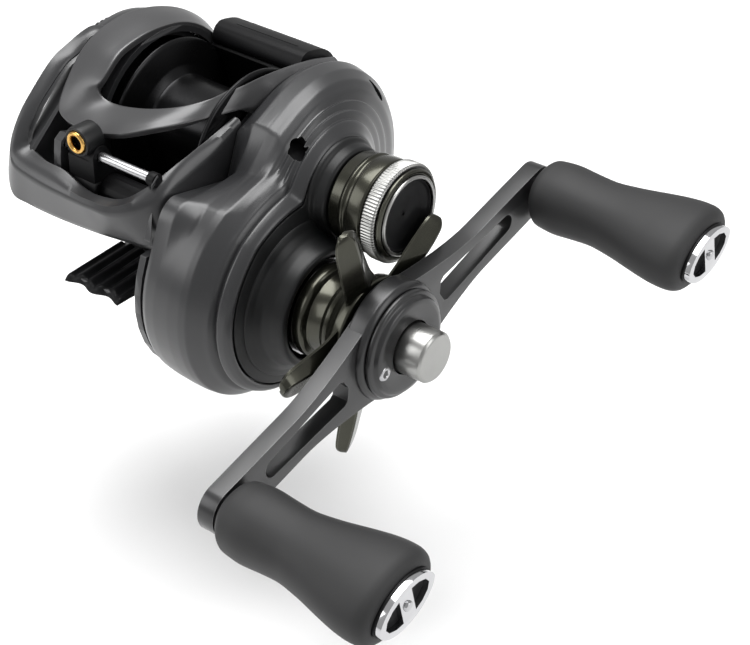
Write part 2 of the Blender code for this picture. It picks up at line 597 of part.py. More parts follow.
def make_clutch_pieces():
    """Yoke that lifts the pinion, the cam that moves the yoke, and the two guide pins."""
    along = towards(DRIVE_AXIS, SPOOL_AXIS)
    out = (math.cos(along), math.sin(along))
    side = (-out[1], out[0])
    pins = [tuple(SPOOL_AXIS[i] + 0.8 * out[i] + sign * 6.3 * side[i] for i in (0, 1)) for sign in (-1, 1)]
    crown = (SPOOL_AXIS[0] + 2.2 * out[0], SPOOL_AXIS[1] + 2.2 * out[1])
    body = hull_outline(((pins[0], 2.2), (pins[1], 2.2), (crown, 4.4)), 28)
    yoke = plate("clutch_yoke", STEEL, [body, circle(pins[0], 1.1, 16), circle(pins[1], 1.1, 16)], 21.6, 22.5)
    cut_or_join(yoke, cylinder("cut_yoke", None, SPOOL_AXIS, 20.0, 24.0, 2.3, 20))
    mouth = box("cut_yoke_mouth", None, (20.0, -5.0, -2.25), (24.0, 5.0, 2.25), (along, 0, 0))
    mouth.location = (0.022, (SPOOL_AXIS[0] - 5.0 * out[0]) * MM, (SPOOL_AXIS[1] - 5.0 * out[1]) * MM)
    cut_or_join(yoke, mouth)
    for label, pin in zip("ab", pins):
        cylinder("yoke_pin_" + label, STEEL, pin, 12.6, 27.4, 0.85, 16)
        spring_coil("yoke_spring_" + label, pin)

    reach = math.radians(38)
    tip = on_circle(SPOOL_AXIS, 12.5, reach)
    root = on_circle(SPOOL_AXIS, 4.2, reach)
    cam = plate("clutch_cam", BRASS, [circle(SPOOL_AXIS, 5.2, 32)], 13.0, 14.0, SPOOL_AXIS)
    arm = plate("cam_arm", None, [hull_outline(((root, 1.6), (tip, 1.2)), 20)], 13.05, 13.95)
    cut_or_join(cam, arm, "UNION")
    cut_or_join(cam, cylinder("cut_cam", None, SPOOL_AXIS, 12.0, 15.0, 4.3, 28))


def spring_coil(name, pin):
    """Return spring round a guide pin, drawn at its compressed length."""
    turns, per_turn = 3, 8
    curve = bpy.data.curves.new(name, "CURVE")
    curve.dimensions = "3D"
    curve.bevel_depth = 0.18 * MM
    curve.bevel_resolution = 0
    curve.use_fill_caps = True
    spline = curve.splines.new("POLY")
    spline.points.add(turns * per_turn)
    for i, point in enumerate(spline.points):
        angle = TAU * i / per_turn
        x = 25.1 + 2.0 * i / (turns * per_turn)
        point.co = (x * MM, 1.35 * MM * math.cos(angle), 1.35 * MM * math.sin(angle), 1.0)
    drawn = bpy.data.objects.new(name + "_path", curve)
    CUTTERS.objects.link(drawn)
    mesh = mesh_from_curve(drawn)
    mesh.name = name
    made = add_object(name, mesh, STEEL)
    made.location = (0.0, pin[0] * MM, pin[1] * MM)


def make_thumb_bar():
    """Clutch bar behind the spool, with a tab that reaches the cam through the gear-side wall."""
    section = [(13.4, 30.9), (14.2, 32.7), (16.0, 33.1), (20.6, 31.9), (22.4, 29.9), (21.6, 27.6),
               (17.4, 26.9), (14.9, 28.7)]
    bar = plate("thumb_bar", BLACK, [section], -11.2, 10.7, (17.5, 30.0))
    slope = math.atan2(THUMB_DIRECTION[1], THUMB_DIRECTION[0])
    tab = box("thumb_tab", None, (9.5, 14.7, 26.9), (14.6, 17.3, 28.3), (slope, 0, 0))
    cut_or_join(bar, tab, "UNION")
    return bar


# ------------------------------------------------------------------ level wind

def make_level_wind():
    turned("worm_shaft", STEEL, WORM_AXIS,
           [(-13.2, 1.4), (-11.2, 1.4), (-11.1, 2.2), (10.4, 2.2), (10.5, 1.2), (16.8, 1.2)], steps=20)
    span = [math.radians(a) for a in range(-60, 241, 20)]
    outline = [on_circle(WORM_AXIS, WORM_GUARD_R[1], a) for a in span]
    outline += [on_circle(WORM_AXIS, WORM_GUARD_R[0], a) for a in reversed(span)]
    plate("worm_guard", BLACK, [outline], -11.3, 10.7, WORM_AXIS)
    cylinder("guide_rod", STEEL, ROD_AXIS, -13.3, 12.3, 0.95, 20)

    x0, x1 = GUIDE_X - 3.2, GUIDE_X + 4.6
    block = hull_outline(((WORM_AXIS, 4.2), (ROD_AXIS, 2.4)), 30)
    guide = plate("line_guide", NYLON, [block, circle(WORM_AXIS, 3.5, 20)], x0, x1)
    eye = (GUIDE_X, EYE_Z)
    barrel = turned("guide_barrel", None, (0, 0), [(23.9, 3.1), (28.4, 3.1)], steps=20)
    barrel.rotation_euler = (math.radians(90), 0, 0)
    barrel.location = (eye[0] * MM, 0, eye[1] * MM)
    cut_or_join(guide, barrel, "UNION")
    bore = turned("cut_guide_eye", None, (0, 0), [(20.0, EYE_R), (27.2, EYE_R), (27.3, 2.35), (29.0, 2.35)])
    bore.rotation_euler = (math.radians(90), 0, 0)
    bore.location = (eye[0] * MM, 0, eye[1] * MM)
    cut_or_join(guide, bore)
    cut_or_join(guide, cylinder("cut_guide_rod", None, ROD_AXIS, x0 - 1, x1 + 1, 1.1, 16), solver="MANIFOLD")
    pawl_bore = cylinder("cut_guide_pawl", None, (0, 0), 0, 6, 1.3, 16)
    pawl_bore.rotation_euler = (0, 0, 0)
    pawl_bore.location = ((GUIDE_X + 0.7) * MM, WORM_AXIS[0] * MM, 12.0 * MM)
    cut_or_join(guide, pawl_bore, solver="MANIFOLD")

    ring = turned("guide_ring", GOLD, (0, 0), [(27.4, 2.2), (28.5, 2.2), (28.8, 2.0)],
                  [(27.4, EYE_R), (28.8, EYE_R)])
    ring.rotation_euler = (math.radians(90), 0, 0)
    ring.location = (eye[0] * MM, 0, eye[1] * MM)
    cap = turned("pawl_cap", BRASS, (0, 0), [(10.5, 2.0), (11.4, 2.0)], steps=20)
    pawl = turned("pawl", STEEL, (0, 0), [(11.6, 1.1), (13.4, 1.1)], steps=16)
    for piece in (cap, pawl):
        piece.rotation_euler = (0, 0, 0)
        piece.location = ((GUIDE_X + 0.7) * MM, WORM_AXIS[0] * MM, 0)


# ------------------------------------------------------------- tension and drag

def make_tension_knob():
    turned("tension_cap", OLIVE, SPOOL_AXIS,
           [(34.9, 8.4), (38.2, 8.4), (38.6, 8.9), (42.6, 8.9), (42.7, 7.9), (45.9, 7.9), (46.0, 8.7),
            (46.5, 8.3)],
           [(34.9, 5.3), (40.4, 5.3), (40.5, 0.0)], steps=28)
    turned("tension_grip_ring", SILVER, SPOOL_AXIS, [(42.9, 9.1), (43.2, 9.4), (45.5, 9.4), (45.8, 9.1)],
           [(42.9, 8.05), (45.8, 8.05)], steps=32)
    turned("tension_trim_ring", SILVER, SPOOL_AXIS, [(46.65, 7.6), (47.1, 7.4)],
           [(46.65, 6.7), (47.1, 6.9)], steps=32)
    turned("tension_washer", BRASS, SPOOL_AXIS, [(39.0, 3.8), (39.9, 3.8)], steps=20)


def star_outline():
    """Five leaf-shaped arms round a hub, as a closed outline."""
    points = []
    for k in range(STAR_ARMS):
        middle = STAR_ANGLE + TAU * k / STAR_ARMS
        for radius, side in ((9.4, -33), (12.5, -17.5), (18.0, -10.5), (22.4, -7.2), (23.8, -3.2),
                             (STAR_R, 0.5), (23.6, 4.0), (21.8, 7.4), (17.0, 10.0), (12.0, 16.0)):
            angle = middle + math.radians(side)
            points.append(on_circle(DRIVE_AXIS, radius, angle))
    return points


def make_star_drag():
    star = plate("star_drag", OLIVE, [star_outline()], 47.5, 49.5, DRIVE_AXIS)
    hub = turned("star_hub", None, DRIVE_AXIS,
                 [(37.1, 9.0), (39.6, 9.0), (40.0, 7.6), (43.0, 7.6), (46.0, 9.6), (48.8, 9.6)], steps=24)
    cut_or_join(star, hub, "UNION")
    cut_or_join(star, cylinder("cut_star", None, DRIVE_AXIS, 36.0, 51.0, 3.15, 24))
    return star


# ---------------------------------------------------------------------- handle

def crank_point(radius, offset, direction):
    """Point at a distance along the crank and to one side; direction is +1 or -1."""
    along = (math.cos(CRANK_ANGLE) * direction, math.sin(CRANK_ANGLE) * direction)
    return (DRIVE_AXIS[0] + radius * along[0] - offset * along[1],
            DRIVE_AXIS[1] + radius * along[1] + offset * along[0])


def arm_half_width(radius):
    """Half the width of a crank arm: wide at the hub, waisted, rounded at the end."""
    return 4.5 + 6.2 * max(0.0, 1 - radius / 26.0) ** 1.5


def crank_outline():
    points = []
    for direction in (1, -1):
        for radius in (4, 10, 16, 22, 28, 34, 40):
            points.append(crank_point(radius, -arm_half_width(radius), direction))
        for a in range(-80, 81, 20):
            turn = math.radians(a)
            points.append(crank_point(CRANK_R + 4.5 * math.cos(turn), 4.5 * math.sin(turn), direction))
        for radius in (40, 34, 28, 22, 16, 10, 4):
            points.append(crank_point(radius, arm_half_width(radius), direction))
    return points


def crank_slot(direction):
    """Elongated opening in one arm."""
    start, end, half = 14.5, 34.0, 1.9
    points = []
    for a in range(-75, 76, 30):
        turn = math.radians(a)
        points.append(crank_point(end + half * math.cos(turn), half * math.sin(turn), direction))
    points.append(crank_point(start, 2.9, direction))
    points.append(crank_point(start - 1.2, 0.0, direction))
    points.append(crank_point(start, -2.9, direction))
    return points


def make_handle():
    arm = plate("handle_arm", GRAPHITE, [crank_outline(), crank_slot(1), crank_slot(-1)], *ARM_X, DRIVE_AXIS)
    hub = turned("arm_hub", None, DRIVE_AXIS, [(50.5, 11.2), (54.2, 11.2), (54.9, 10.6)], steps=28)
    cut_or_join(arm, hub, "UNION")
    cut_or_join(arm, cylinder("cut_arm", None, DRIVE_AXIS, 49.0, 58.0, 2.7, 20))
    turned("nut_retainer", GRAPHITE, DRIVE_AXIS, [(55.1, 10.3), (56.4, 10.0), (57.2, 9.0)],
           [(55.1, 5.1), (57.2, 5.1)], steps=28)
    turned("handle_nut", SILVER, DRIVE_AXIS, [(55.2, 4.8), (62.2, 4.8), (62.7, 4.3)],
           [(55.2, 2.65), (60.6, 2.65), (60.7, 0.0)], steps=20)
    for label, direction in (("front", -1), ("rear", 1)):
        make_knob(label, crank_point(CRANK_R, 0.0, direction))


# Share of the knob's length, half size along the crank, half size across it
KNOB_PROFILE = ((0, 5.2, 5.2), (0.04, 6.3, 6.2), (0.15, 6.8, 6.5), (0.4, 6.3, 5.7), (0.7, 8.6, 6.2),
                (0.88, 9.7, 6.4), (0.97, 9.2, 5.9), (1, 8.0, 4.8))


def knob_ring(x, centre):
    """Paddle section at x: a soft oval whose long side lies along the crank."""
    t = (x - KNOB_X[0]) / (KNOB_X[1] - KNOB_X[0])
    shares, longs, shorts = zip(*KNOB_PROFILE)
    along = float(np.interp(t, shares, longs))
    across = float(np.interp(t, shares, shorts))
    ring = []
    for i in range(20):
        a = TAU * i / 20
        u = along * math.copysign(abs(math.cos(a)) ** 0.9, math.cos(a))
        v = across * math.copysign(abs(math.sin(a)) ** 0.9, math.sin(a))
        ring.append((x, centre[0] + u * math.cos(CRANK_ANGLE) - v * math.sin(CRANK_ANGLE),
                     centre[1] + u * math.sin(CRANK_ANGLE) + v * math.cos(CRANK_ANGLE)))
    return ring


def make_knob(label, centre):
    name = "knob_" + label
    shares = (0, 0.04, 0.15, 0.28, 0.4, 0.55, 0.7, 0.88, 0.97, 1)
    stations = [KNOB_X[0] + (KNOB_X[1] - KNOB_X[0]) * share for share in shares]
    grip = loft(name, RUBBER, [knob_ring(x, centre) for x in stations], (0.0, *centre))
    cut_or_join(grip, cylinder("cut_" + name, None, centre, 53.0, 84.0, 3.4, 20))
    cut_or_join(grip, cylinder("cut_end_" + name, None, centre, 83.0, 90.0, 4.2, 20))
    turned(name + "_shaft", STEEL, centre, [(53.9, 3.0), (54.4, 3.0), (54.5, 1.9), (80.5, 1.9)], steps=20)
    ball_bearing(name + "_bearing", centre, 55.4, 58.0, 3.25, 2.05)
    cap = plate(name + "_cap", CHROME, [almond(centre)], KNOB_X[1] + 0.2, KNOB_X[1] + 1.3, centre)
    cut_or_join(cap, cylinder(name + "_plug", None, centre, 84.5, KNOB_X[1] + 0.6, 4.0, 20), "UNION")


def almond(centre):
    """Pointed oval of the knob's end cap."""
    points = []
    for i in range(20):
        a = TAU * i / 20
        u = 7.6 * math.cos(a)
        v = 4.4 * math.copysign(abs(math.sin(a)) ** 1.15, math.sin(a))
        points.append((centre[0] + u * math.cos(CRANK_ANGLE) - v * math.sin(CRANK_ANGLE),
                       centre[1] + u * math.sin(CRANK_ANGLE) + v * math.cos(CRANK_ANGLE)))
    return points


make_frame()
make_gear_side_case()
make_gear_cover()
make_nose_cover()
make_hood()
make_palm_side_case()
make_palm_plate_pieces()
make_spool_pieces()
make_drive_train()
make_drive_shaft_pieces()
make_clutch_pieces()
make_thumb_bar()
make_level_wind()
make_tension_knob()
make_star_drag()
make_handle()
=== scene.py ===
"""Looks of the low-profile baitcasting reel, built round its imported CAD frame.

Lengths below are millimetres in the frame of the CAD; MM turns them into metres.
+X points to the handle side, -Y to the line exit, +Z up.
"""

import json
import math

import bmesh
import bpy
import numpy as np
from mathutils import Matrix, Vector


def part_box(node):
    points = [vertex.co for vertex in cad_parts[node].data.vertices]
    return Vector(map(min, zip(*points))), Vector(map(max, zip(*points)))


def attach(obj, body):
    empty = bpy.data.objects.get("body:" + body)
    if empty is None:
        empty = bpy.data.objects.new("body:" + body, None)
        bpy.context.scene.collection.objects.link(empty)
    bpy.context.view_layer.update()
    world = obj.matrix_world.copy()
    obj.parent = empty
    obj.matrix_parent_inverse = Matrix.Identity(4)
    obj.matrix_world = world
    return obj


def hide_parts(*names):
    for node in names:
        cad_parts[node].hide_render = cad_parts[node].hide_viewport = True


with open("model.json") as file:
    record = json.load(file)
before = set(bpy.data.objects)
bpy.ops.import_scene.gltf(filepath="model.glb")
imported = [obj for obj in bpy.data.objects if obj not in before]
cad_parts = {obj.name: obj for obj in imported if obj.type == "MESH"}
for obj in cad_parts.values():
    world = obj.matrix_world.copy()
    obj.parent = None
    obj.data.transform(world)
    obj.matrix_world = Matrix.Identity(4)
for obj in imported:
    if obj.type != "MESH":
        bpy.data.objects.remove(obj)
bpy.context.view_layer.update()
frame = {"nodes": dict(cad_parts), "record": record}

MM = 0.001
TAU = 2 * math.pi
UP = np.array((0.0, 0.0, 1.0))
SHARP_EDGE = 32.0   # degrees; edges folded more than this stay crisp
FAR = 1e6           # reach of a ray that never meets a shape, millimetres
GRAZING = 0.02      # smallest cosine between a ray and the face it meets


def joint_axis(name):
    """(Y, Z) of a hinge whose axis runs along X."""
    joint = next(j for j in frame["record"]["behaviour"]["joints"] if j["name"] == name)
    return joint["pos_m"][1] / MM, joint["pos_m"][2] / MM


def span(node, axis):
    """Lowest and highest coordinate of a CAD node along axis 0, 1 or 2."""
    low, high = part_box(node)
    return low[axis] / MM, high[axis] / MM


def middle(node):
    """(Y, Z) centre of a CAD node."""
    return sum(span(node, 1)) / 2, sum(span(node, 2)) / 2


SPOOL = joint_axis("spool_spin")
DRIVE = joint_axis("handle_spin")
WORM = joint_axis("worm_spin")
ROD = middle("guide_rod")
KNOBS = {"front": joint_axis("front_knob_spin"), "rear": joint_axis("rear_knob_spin")}
CRANK_ANGLE = math.atan2(KNOBS["rear"][1] - DRIVE[1], KNOBS["rear"][0] - DRIVE[0])
CRANK_R = math.dist(KNOBS["rear"], DRIVE)


# ---- materials

class Surface:
    """Node material with colour mottling, grain bump, roughness variation and worn edges."""

    def __init__(self, name, colour, roughness, metallic=0.0):
        self.material = bpy.data.materials.new(name)
        self.material.use_nodes = True
        self.tree = self.material.node_tree
        self.shader = self.tree.nodes["Principled BSDF"]
        self.shader.inputs["Metallic"].default_value = metallic
        self.where = self.tree.nodes.new("ShaderNodeTexCoord").outputs["Object"]
        self.colour = self.rgb(colour)
        self.rough = self.value(roughness)
        self.height = None

    def node(self, kind, **settings):
        made = self.tree.nodes.new(kind)
        for key, value in settings.items():
            setattr(made, key, value)
        return made

    def link(self, source, target):
        self.tree.links.new(source, target)

    def rgb(self, colour):
        made = self.node("ShaderNodeRGB")
        made.outputs[0].default_value = (*colour, 1.0)
        return made.outputs[0]

    def value(self, number):
        made = self.node("ShaderNodeValue")
        made.outputs[0].default_value = number
        return made.outputs[0]

    def maths(self, operation, a, b, clamp=False):
        made = self.node("ShaderNodeMath", operation=operation, use_clamp=clamp)
        for socket, item in zip(made.inputs, (a, b)):
            if isinstance(item, (int, float)):
                socket.default_value = item
            else:
                self.link(item, socket)
        return made.outputs[0]

    def noise(self, size, detail=3.0, stretch=(1.0, 1.0, 1.0)):
        """Noise with features of the given size in millimetres, stretched along the axes."""
        mapping = self.node("ShaderNodeMapping")
        mapping.inputs["Scale"].default_value = [1.0 / s for s in stretch]
        self.link(self.where, mapping.inputs["Vector"])
        made = self.node("ShaderNodeTexNoise")
        made.inputs["Scale"].default_value = 1.0 / (size * MM)
        made.inputs["Detail"].default_value = detail
        self.link(mapping.outputs[0], made.inputs["Vector"])
        return made.outputs["Fac"]

    def mix(self, factor, other):
        made = self.node("ShaderNodeMix", data_type="RGBA")
        self.link(factor, made.inputs["Factor"])
        self.link(self.colour, made.inputs[6])
        self.link(self.rgb(other), made.inputs[7])
        self.colour = made.outputs[2]
        return self

    def mottle(self, size, other, amount):
        """Blends another colour in, in soft patches."""
        self.mix(self.maths("MULTIPLY", self.noise(size), amount), other)
        return self

    def smudge(self, size, amount):
        """Varies the roughness in soft patches."""
        shift = self.maths("MULTIPLY", self.maths("SUBTRACT", self.noise(size), 0.5), amount)
        self.rough = self.maths("ADD", self.rough, shift, clamp=True)
        return self

    def grain(self, size, depth, stretch=(1.0, 1.0, 1.0)):
        """Fine relief of the given size and depth in millimetres."""
        relief = self.maths("MULTIPLY", self.noise(size, 2.0, stretch), depth * MM)
        self.height = relief if self.height is None else self.maths("ADD", self.height, relief)
        return self

    def worn(self, colour, width, amount):
        """Lightens and polishes narrow convex and concave edges."""
        soft = self.node("ShaderNodeBevel", samples=4)
        soft.inputs["Radius"].default_value = width * MM
        flat = self.node("ShaderNodeNewGeometry")
        dot = self.node("ShaderNodeVectorMath", operation="DOT_PRODUCT")
        self.link(soft.outputs[0], dot.inputs[0])
        self.link(flat.outputs["Normal"], dot.inputs[1])
        edge = self.maths("MULTIPLY", self.maths("SUBTRACT", 1.0, dot.outputs["Value"]), 8.0, clamp=True)
        patchy = self.maths("MULTIPLY", edge, self.maths("MULTIPLY", self.noise(1.6), 2 * amount), clamp=True)
        self.mix(patchy, colour)
        self.rough = self.maths("SUBTRACT", self.rough, self.maths("MULTIPLY", patchy, 0.12), clamp=True)
        return self

    def coat(self, weight, roughness):
        self.shader.inputs["Coat Weight"].default_value = weight
        self.shader.inputs["Coat Roughness"].default_value = roughness
        return self

    def dull(self, level):
        """Lowers the reflection seen square on; 0.5 is the usual level."""
        self.shader.inputs["Specular IOR Level"].default_value = level
        return self

    def done(self):
        self.link(self.colour, self.shader.inputs["Base Color"])
        self.link(self.rough, self.shader.inputs["Roughness"])
        if self.height is not None:
            bump = self.node("ShaderNodeBump")
            bump.inputs["Distance"].default_value = 1.0
            bump.inputs["Strength"].default_value = 1.0
            self.link(self.height, bump.inputs["Height"])
            self.link(bump.outputs[0], self.shader.inputs["Normal"])
        return self.material


def black_moulding():
    return (Surface("black_moulding", (0.004, 0.004, 0.0045), 0.42).dull(0.12)
            .mottle(6, (0.007, 0.007, 0.0075), 0.8).smudge(5, 0.12).grain(0.25, 0.004)
            .worn((0.03, 0.03, 0.03), 0.15, 0.4).done())


def bright_metal(name="bright_turned_metal", colour=(0.34, 0.34, 0.33), roughness=0.30):
    return (Surface(name, colour, roughness, 1.0)
            .mottle(5, tuple(0.78 * c for c in colour), 0.5).smudge(3, 0.14).grain(0.05, 0.0016, (0.3, 5, 5))
            .worn((0.80, 0.80, 0.79), 0.12, 0.5).done())


FINISH = {
    "body_paint": Surface("body_paint_satin", (0.018, 0.0182, 0.0195), 0.34, 0.15)
        .mottle(14, (0.023, 0.0233, 0.0247), 0.7).smudge(9, 0.10).grain(0.12, 0.0012)
        .worn((0.12, 0.12, 0.12), 0.18, 0.35).coat(0.2, 0.3).done(),
    "hood_paint": Surface("hood_paint_satin", (0.046, 0.046, 0.048), 0.32, 0.3)
        .mottle(16, (0.058, 0.058, 0.059), 0.7).smudge(10, 0.08).grain(0.12, 0.0010)
        .worn((0.22, 0.22, 0.22), 0.2, 0.5).coat(0.2, 0.26).done(),
    "black_coat": black_moulding(),
    "olive_gunmetal": Surface("olive_anodised", (0.046, 0.0455, 0.035), 0.24, 0.9)
        .mottle(7, (0.034, 0.034, 0.026), 0.6).smudge(5, 0.10).grain(0.08, 0.0007, (1, 6, 1))
        .worn((0.30, 0.30, 0.25), 0.16, 0.5).coat(0.2, 0.10).done(),
    "bright_aluminium": bright_metal(),
    "steel": bright_metal("ground_steel", (0.42, 0.42, 0.43), 0.24),
    "brass": Surface("machined_brass", (0.50, 0.35, 0.13), 0.32, 1.0)
        .mottle(4, (0.38, 0.26, 0.09), 0.6).smudge(3, 0.15).grain(0.06, 0.0015, (0.3, 5, 5)).done(),
    "carbon": Surface("carbon_washer_matte", (0.015, 0.015, 0.015), 0.6)
        .mottle(1, (0.035, 0.035, 0.035), 0.8).grain(0.3, 0.006, (1, 3, 1)).done(),
    "rubber": Surface("knob_rubber_soft", (0.016, 0.016, 0.0165), 0.60).dull(0.35)
        .mottle(12, (0.022, 0.022, 0.0225), 0.7).smudge(6, 0.10).grain(0.22, 0.010).grain(0.9, 0.006)
        .done(),
    "chrome": Surface("polished_chrome", (0.50, 0.50, 0.51), 0.09, 1.0)
        .mottle(4, (0.38, 0.38, 0.39), 0.4).smudge(2, 0.08).grain(0.8, 0.0016).done(),
    "nylon": black_moulding(),
    "gold": Surface("gold_coating", (0.62, 0.37, 0.11), 0.20, 1.0)
        .mottle(2, (0.48, 0.28, 0.08), 0.5).smudge(1, 0.1).grain(0.05, 0.0005).done(),
    "crank_anodised": Surface("crank_satin_anodised", (0.014, 0.014, 0.0147), 0.32, 0.3)
        .mottle(9, (0.020, 0.020, 0.0207), 0.7).smudge(6, 0.12).grain(0.09, 0.0012)
        .worn((0.24, 0.24, 0.24), 0.2, 0.5).coat(0.15, 0.25).done(),
    "spool_anodised": Surface("spool_anodised", (0.010, 0.010, 0.0105), 0.26, 0.85)
        .mottle(8, (0.016, 0.016, 0.017), 0.6).smudge(5, 0.08).grain(0.06, 0.0010, (0.3, 5, 5))
        .worn((0.26, 0.26, 0.26), 0.15, 0.5).done(),
    "cover": Surface("cover_matte_paint", (0.0045, 0.0047, 0.005), 0.40).dull(0.25)
        .mottle(10, (0.008, 0.0083, 0.0087), 0.7).smudge(7, 0.10).grain(0.10, 0.0014)
        .worn((0.07, 0.07, 0.07), 0.18, 0.35).done(),
}
SLOT_OF = {row["node"]: row["material_slot"] for row in frame["record"]["subparts"]}
BODY_OF = {node: body for body, nodes in frame["record"]["behaviour"]["bodies"].items() for node in nodes}


# ---- mesh helpers

def piece(name, mesh, node, replaces=True, finish=None, sharp=SHARP_EDGE):
    """Object of the reel: rides with a CAD node's body, in that node's finish."""
    slot = SLOT_OF[node]
    mesh.name = name
    mesh.materials.clear()
    mesh.materials.append(FINISH[finish or slot])
    mesh.shade_smooth()
    mesh.set_sharp_from_angle(angle=math.radians(sharp))
    made = bpy.data.objects.new(name, mesh)
    bpy.context.scene.collection.objects.link(made)
    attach(made, BODY_OF[node])
    if replaces:
        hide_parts(node)
    return made


def extra(name, mesh, node, **settings):
    """Piece that joins a node's looks without standing for the node."""
    return piece(name, mesh, node, replaces=False, **settings)


def mesh_of(bm):
    bmesh.ops.recalc_face_normals(bm, faces=bm.faces)
    mesh = bpy.data.meshes.new("mesh")
    bm.to_mesh(mesh)
    bm.free()
    return mesh


def skin(rings, joined=False):
    """Mesh through rings of points, capped, or joined from the last ring back to the first."""
    rings = np.asarray(rings, float) * MM
    bm = bmesh.new()
    rows = [[bm.verts.new(p) for p in ring] for ring in rings]
    count = len(rows[0])
    pairs = list(zip(rows, rows[1:])) + ([(rows[-1], rows[0])] if joined else [])
    for low, high in pairs:
        for i in range(count):
            j = (i + 1) % count
            bm.faces.new((low[i], low[j], high[j], high[i]))
    if not joined:
        bm.faces.new(list(reversed(rows[0])))
        bm.faces.new(rows[-1])
    return mesh_of(bm)


def softened(points, size, closed=True):
    """Outline with each corner cut back by up to size and rounded with a middle point."""
    points = [np.asarray(p, float) for p in points]
    count = len(points)
    out = []
    for i, p in enumerate(points):
        if not closed and i in (0, count - 1):
            out.append(p)
            continue
        before, after = points[i - 1], points[(i + 1) % count]
        back = min(size, 0.4 * np.linalg.norm(before - p))
        on = min(size, 0.4 * np.linalg.norm(after - p))
        a = p + (before - p) / max(np.linalg.norm(before - p), 1e-9) * back
        b = p + (after - p) / max(np.linalg.norm(after - p), 1e-9) * on
        out += [a, 0.25 * a + 0.5 * p + 0.25 * b, b]
    return out


def turned(axis, profile, steps=144, size=0.25, ripple=None):
    """Solid of revolution about an axis along X from a closed (x, radius) profile.

    Points at radius 0 close the profile on the axis. ripple(x, radius, angle) shifts the radius.
    """
    on_axis = profile[0][1] == 0 and profile[-1][1] == 0
    run = softened(profile, size, closed=not on_axis)
    angles = np.linspace(0, TAU, steps, endpoint=False)
    rings = []
    for x, r in run:
        radius = np.full(steps, r) if ripple is None else r + ripple(x, r, angles)
        rings.append(ring_about_x(x, axis, radius, angles))
    if not on_axis:
        return skin(rings, joined=True)
    return skin(rings[1:-1])


def curve_mesh(loops):
    """Flat filled mesh of closed (u, v) loops, the first outside and the rest holes."""
    curve = bpy.data.curves.new("outline", "CURVE")
    curve.dimensions = "2D"
    curve.fill_mode = "BOTH"
    curve.extrude = 0.5
    for loop in loops:
        spline = curve.splines.new("POLY")
        spline.points.add(len(loop) - 1)
        spline.use_cyclic_u = True
        for point, (u, v) in zip(spline.points, loop):
            point.co = (u, v, 0.0, 1.0)
    drawn = bpy.data.objects.new("outline", curve)
    bpy.context.scene.collection.objects.link(drawn)
    view = bpy.context.evaluated_depsgraph_get()
    mesh = bpy.data.meshes.new_from_object(drawn.evaluated_get(view))
    bpy.data.objects.remove(drawn, do_unlink=True)
    return mesh


def plate(loops, x0, x1, bevel=0.3, segments=3):
    """Flat piece with rounded edges, from closed (Y, Z) loops, between x0 and x1."""
    mesh = curve_mesh(loops)
    bm = bmesh.new()
    bm.from_mesh(mesh)
    bpy.data.meshes.remove(mesh)
    bmesh.ops.remove_doubles(bm, verts=bm.verts, dist=0.001)
    middle_x, depth = (x0 + x1) / 2, x1 - x0
    for v in bm.verts:
        v.co = Vector(((middle_x + v.co.z * depth) * MM, v.co.x * MM, v.co.y * MM))
    bmesh.ops.dissolve_limit(bm, angle_limit=0.01, verts=bm.verts, edges=bm.edges)
    rim = [e for e in bm.edges if len(e.link_faces) == 2 and e.calc_face_angle(0) > 1.2]
    if bevel:
        bmesh.ops.bevel(bm, geom=rim, offset=bevel * MM, segments=segments, affect="EDGES",
                        clamp_overlap=True, profile=0.6)
    return mesh_of(bm)


def wave(angle):
    """Smooth teeth between 0 and 1."""
    return 0.5 + 0.5 * np.cos(angle)


def ring_about_x(x, centre, reach, angles):
    """Ring of points in the plane at x, at a reach from centre (Y, Z) along each angle."""
    return np.stack([np.full(len(angles), x), centre[0] + reach * np.cos(angles),
                     centre[1] + reach * np.sin(angles)], axis=1)


def circle(centre, radius, count=96):
    return [(centre[0] + radius * math.cos(TAU * i / count), centre[1] + radius * math.sin(TAU * i / count))
            for i in range(count)]


def through(points, count, closed=False):
    """Smooth curve through points, resampled to count points (Catmull-Rom)."""
    points = np.asarray(points, float)
    if closed:
        padded = np.vstack([points[-1], points, points[0], points[1]])
        spans = len(points)
    else:
        padded = np.vstack([2 * points[0] - points[1], points, 2 * points[-1] - points[-2]])
        spans = len(points) - 1
    at = np.linspace(0, spans, count, endpoint=not closed)
    k = np.minimum(at.astype(int), spans - 1)
    t = (at - k)[:, None]
    p0, p1, p2, p3 = (padded[k + i] for i in range(4))
    return 0.5 * (2 * p1 + (p2 - p0) * t + (2 * p0 - 5 * p1 + 4 * p2 - p3) * t ** 2
                  + (3 * p1 - 3 * p2 + p3 - p0) * t ** 3)


def hull_reach(discs, centre, angles):
    """Distance from centre to the convex hull of discs ((y, z), radius), along each angle."""
    normals = np.linspace(0.0, TAU, 721)[:-1]
    out = np.stack([np.cos(normals), np.sin(normals)])
    support = np.max([c[0] * out[0] + c[1] * out[1] + r for c, r in discs], axis=0)
    support = support - centre[0] * out[0] - centre[1] * out[1]
    facing = np.cos(np.asarray(angles)[:, None] - normals[None, :])
    return np.where(facing > GRAZING, support[None, :] / np.maximum(facing, GRAZING), FAR).min(axis=1)


def disc_reach(disc, centre, angles):
    """Distance from centre to the far side of one disc along each angle, 0 where it misses."""
    (cy, cz), radius = disc
    dy, dz = cy - centre[0], cz - centre[1]
    along = dy * np.cos(angles) + dz * np.sin(angles)
    inside = radius ** 2 - (dy ** 2 + dz ** 2 - along ** 2)
    return np.where(inside > 0, along + np.sqrt(np.maximum(inside, 0)), 0.0).clip(0)


